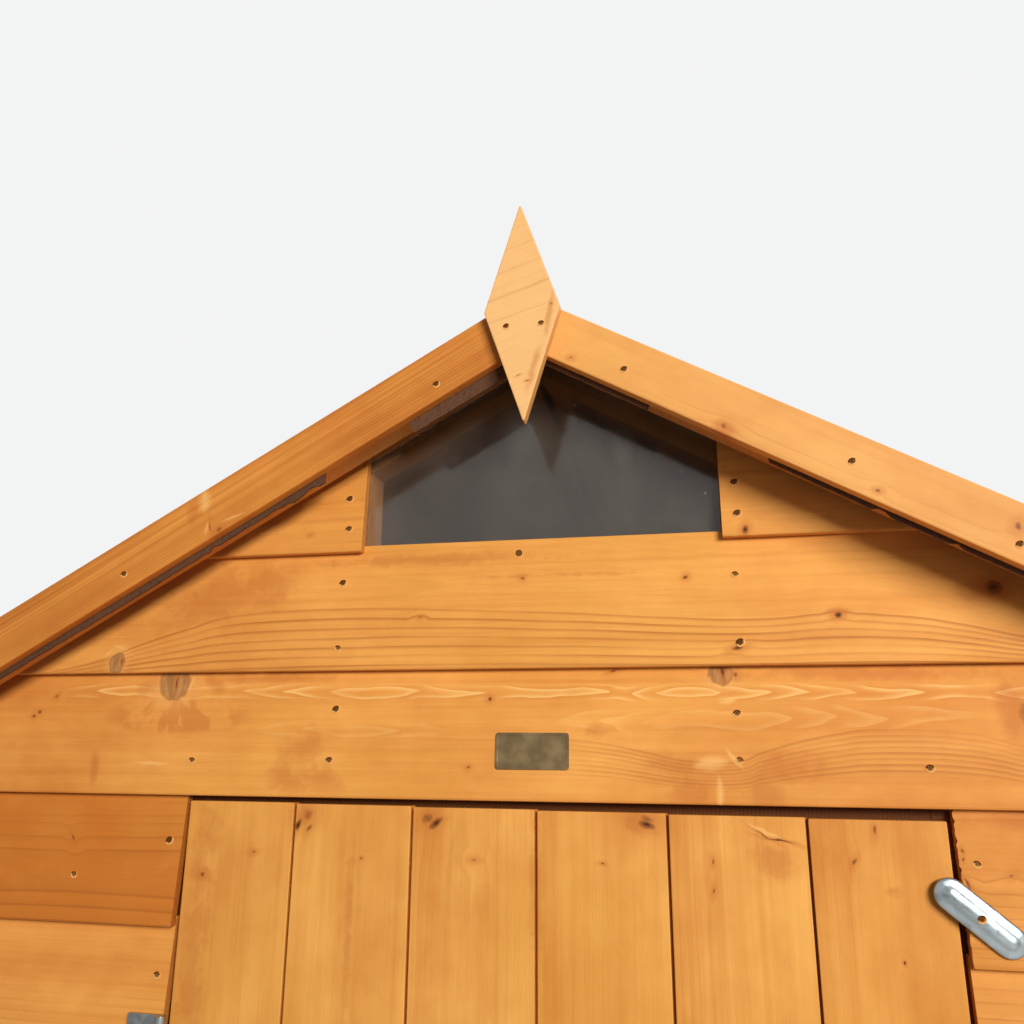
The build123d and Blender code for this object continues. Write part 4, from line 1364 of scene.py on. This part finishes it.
barge_face = verge_half + felt_thickness + 0.012
barge_screws = [((x, -barge_face - 0.0001, height), front) for x, height in (
    (-0.0853, 1.9181), (-0.3953, 1.7445), (0.0931, 1.9181), (0.2809, 1.8179), (0.3993, 1.7415),
    (-0.660, 1.5900), (0.660, 1.5900),
)]
for side in (-1, 1):
    for along in (0.11, 0.40, 0.70):
        x, z, _, _ = slope_point(side, along, barge_bottom + 0.024)
        barge_screws.append(((x, barge_face + 0.0001, z), rear))
set_fixings("barge_screws", barge_screws, screw_head, screw_finish, scale=0.95)
finial_screws = [
    ((x, end * (barge_face + 0.0121), 1.9659), (0, end, 0)) for end in (-1, 1) for x in (-0.0148, 0.0185)
]
set_fixings("finial_screws", finial_screws, screw_head, screw_finish, scale=0.86)
for name, body in (("upper", "upper_button"), ("lower", "shed")):
    low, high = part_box(f"turn_button_{name}")
    middle = (low + high) / 2
    spots = [((middle.x, button_back - 0.0053, middle.z), front)]
    set_fixings(f"{name}_button_screw", spots, screw_head, screw_finish, body, scale=0.9)

clouts = []
for side in (-1, 1):
    for along, above in ((cap_reach - 0.020, felt_level + felt_thickness), (deck_run - 0.020, felt_level)):
        for n in range(15):
            y = -1.05 + 0.15 * n + 0.004 * sin(5 * n + along)
            x, z, ox, oz = slope_point(side, along, above + 0.0022 + felt_wave(y, along))
            clouts.append(((x, y, z), (ox, 0, oz)))
set_fixings("felt_clouts", clouts, nail_head, clout_finish, scale=2.2)
for template in (screw_head, nail_head):
    bpy.data.objects.remove(template)


# Floor, light and camera.
# A plain pale floor and soft studio light from the front right, as in the photograph, with
# the camera where it was taken: close under the gable, a little to the right, looking up.
looking = ("Is Camera Ray", "Is Glossy Ray", "Is Transmission Ray")
stage = Finish("pale_floor")
stage.dress(
    base_color=stage.mix(stage.ray(*looking), (0.16, 0.16, 0.16, 1), (0.80, 0.80, 0.79, 1)), roughness=0.9,
)
bpy.ops.mesh.primitive_plane_add(size=30, location=(0, 0, 0))
ground = bpy.context.object
ground.name = "pale_floor"
ground.data.materials.append(stage.material)

sky = Finish("soft_studio", world=True)
glow = sky.surface("ShaderNodeBackground", color=(0.94, 0.97, 1.0, 1), strength=0.23)
backdrop = sky.surface("ShaderNodeBackground", color=(0.94, 0.945, 0.95, 1), strength=0.95)
sky.show(sky.blend(sky.ray(*looking), glow, backdrop))
bpy.context.scene.world = sky.material


def soft_lamp(name, target, direction, distance, size, energy, narrow=None, along=up):
    """A square or narrow area lamp that looks at a target from one direction."""
    lamp = bpy.data.lights.new(name, "AREA")
    lamp.shape, lamp.size, lamp.size_y, lamp.energy = "RECTANGLE", size, narrow or size, energy
    towards = Vector(direction).normalized()
    side = (Vector(along) - Vector(along).dot(towards) * towards).normalized()
    holder = in_scene(name, lamp)
    holder.location = Vector(target) + towards * distance
    holder.rotation_euler = Matrix((side, towards.cross(side), towards)).transposed().to_euler()


soft_lamp(
    "key_lamp", (0, -1.06, 1.7), (0.52, -0.82, 0.243), 4.6, 2.2, 216, narrow=0.9, along=(0.870, 0, 0.492),
)
soft_lamp("left_lamp", (-0.75, 0.3, 1.1), (-0.92, 0.30, 0.35), 4.5, 2.5, 170)
soft_lamp("rear_lamp", (0.2, 1.05, 1.2), (0.25, 0.85, 0.45), 4.5, 2.5, 190)
soft_lamp("right_lamp", (0.75, 0.3, 1.1), (0.93, 0.20, 0.30), 4.5, 2.5, 90)

focal_pixels, frame_pixels = 861.16, 1024
yaw, pitch_up, roll = -0.2048, 0.2652, 0.0058
forward = Vector((sin(yaw) * cos(pitch_up), cos(yaw) * cos(pitch_up), sin(pitch_up)))
level = Vector((cos(yaw), -sin(yaw), 0))
upright = level.cross(forward)
eye = (0.1411, -frame_half_length - cladding_proud - 0.7841, door_head + 0.0474)
camera = bpy.data.cameras.new("photo_camera")
camera.sensor_width, camera.clip_start = 36.0, 0.02
camera.lens = focal_pixels / frame_pixels * camera.sensor_width
viewer = in_scene("photo_camera", camera)
viewer.matrix_world = facing(
    cos(roll) * level + sin(roll) * upright, cos(roll) * upright - sin(roll) * level, -forward, eye,
)
bpy.context.scene.camera = viewer
bpy.context.scene.view_settings.view_transform = "Standard"
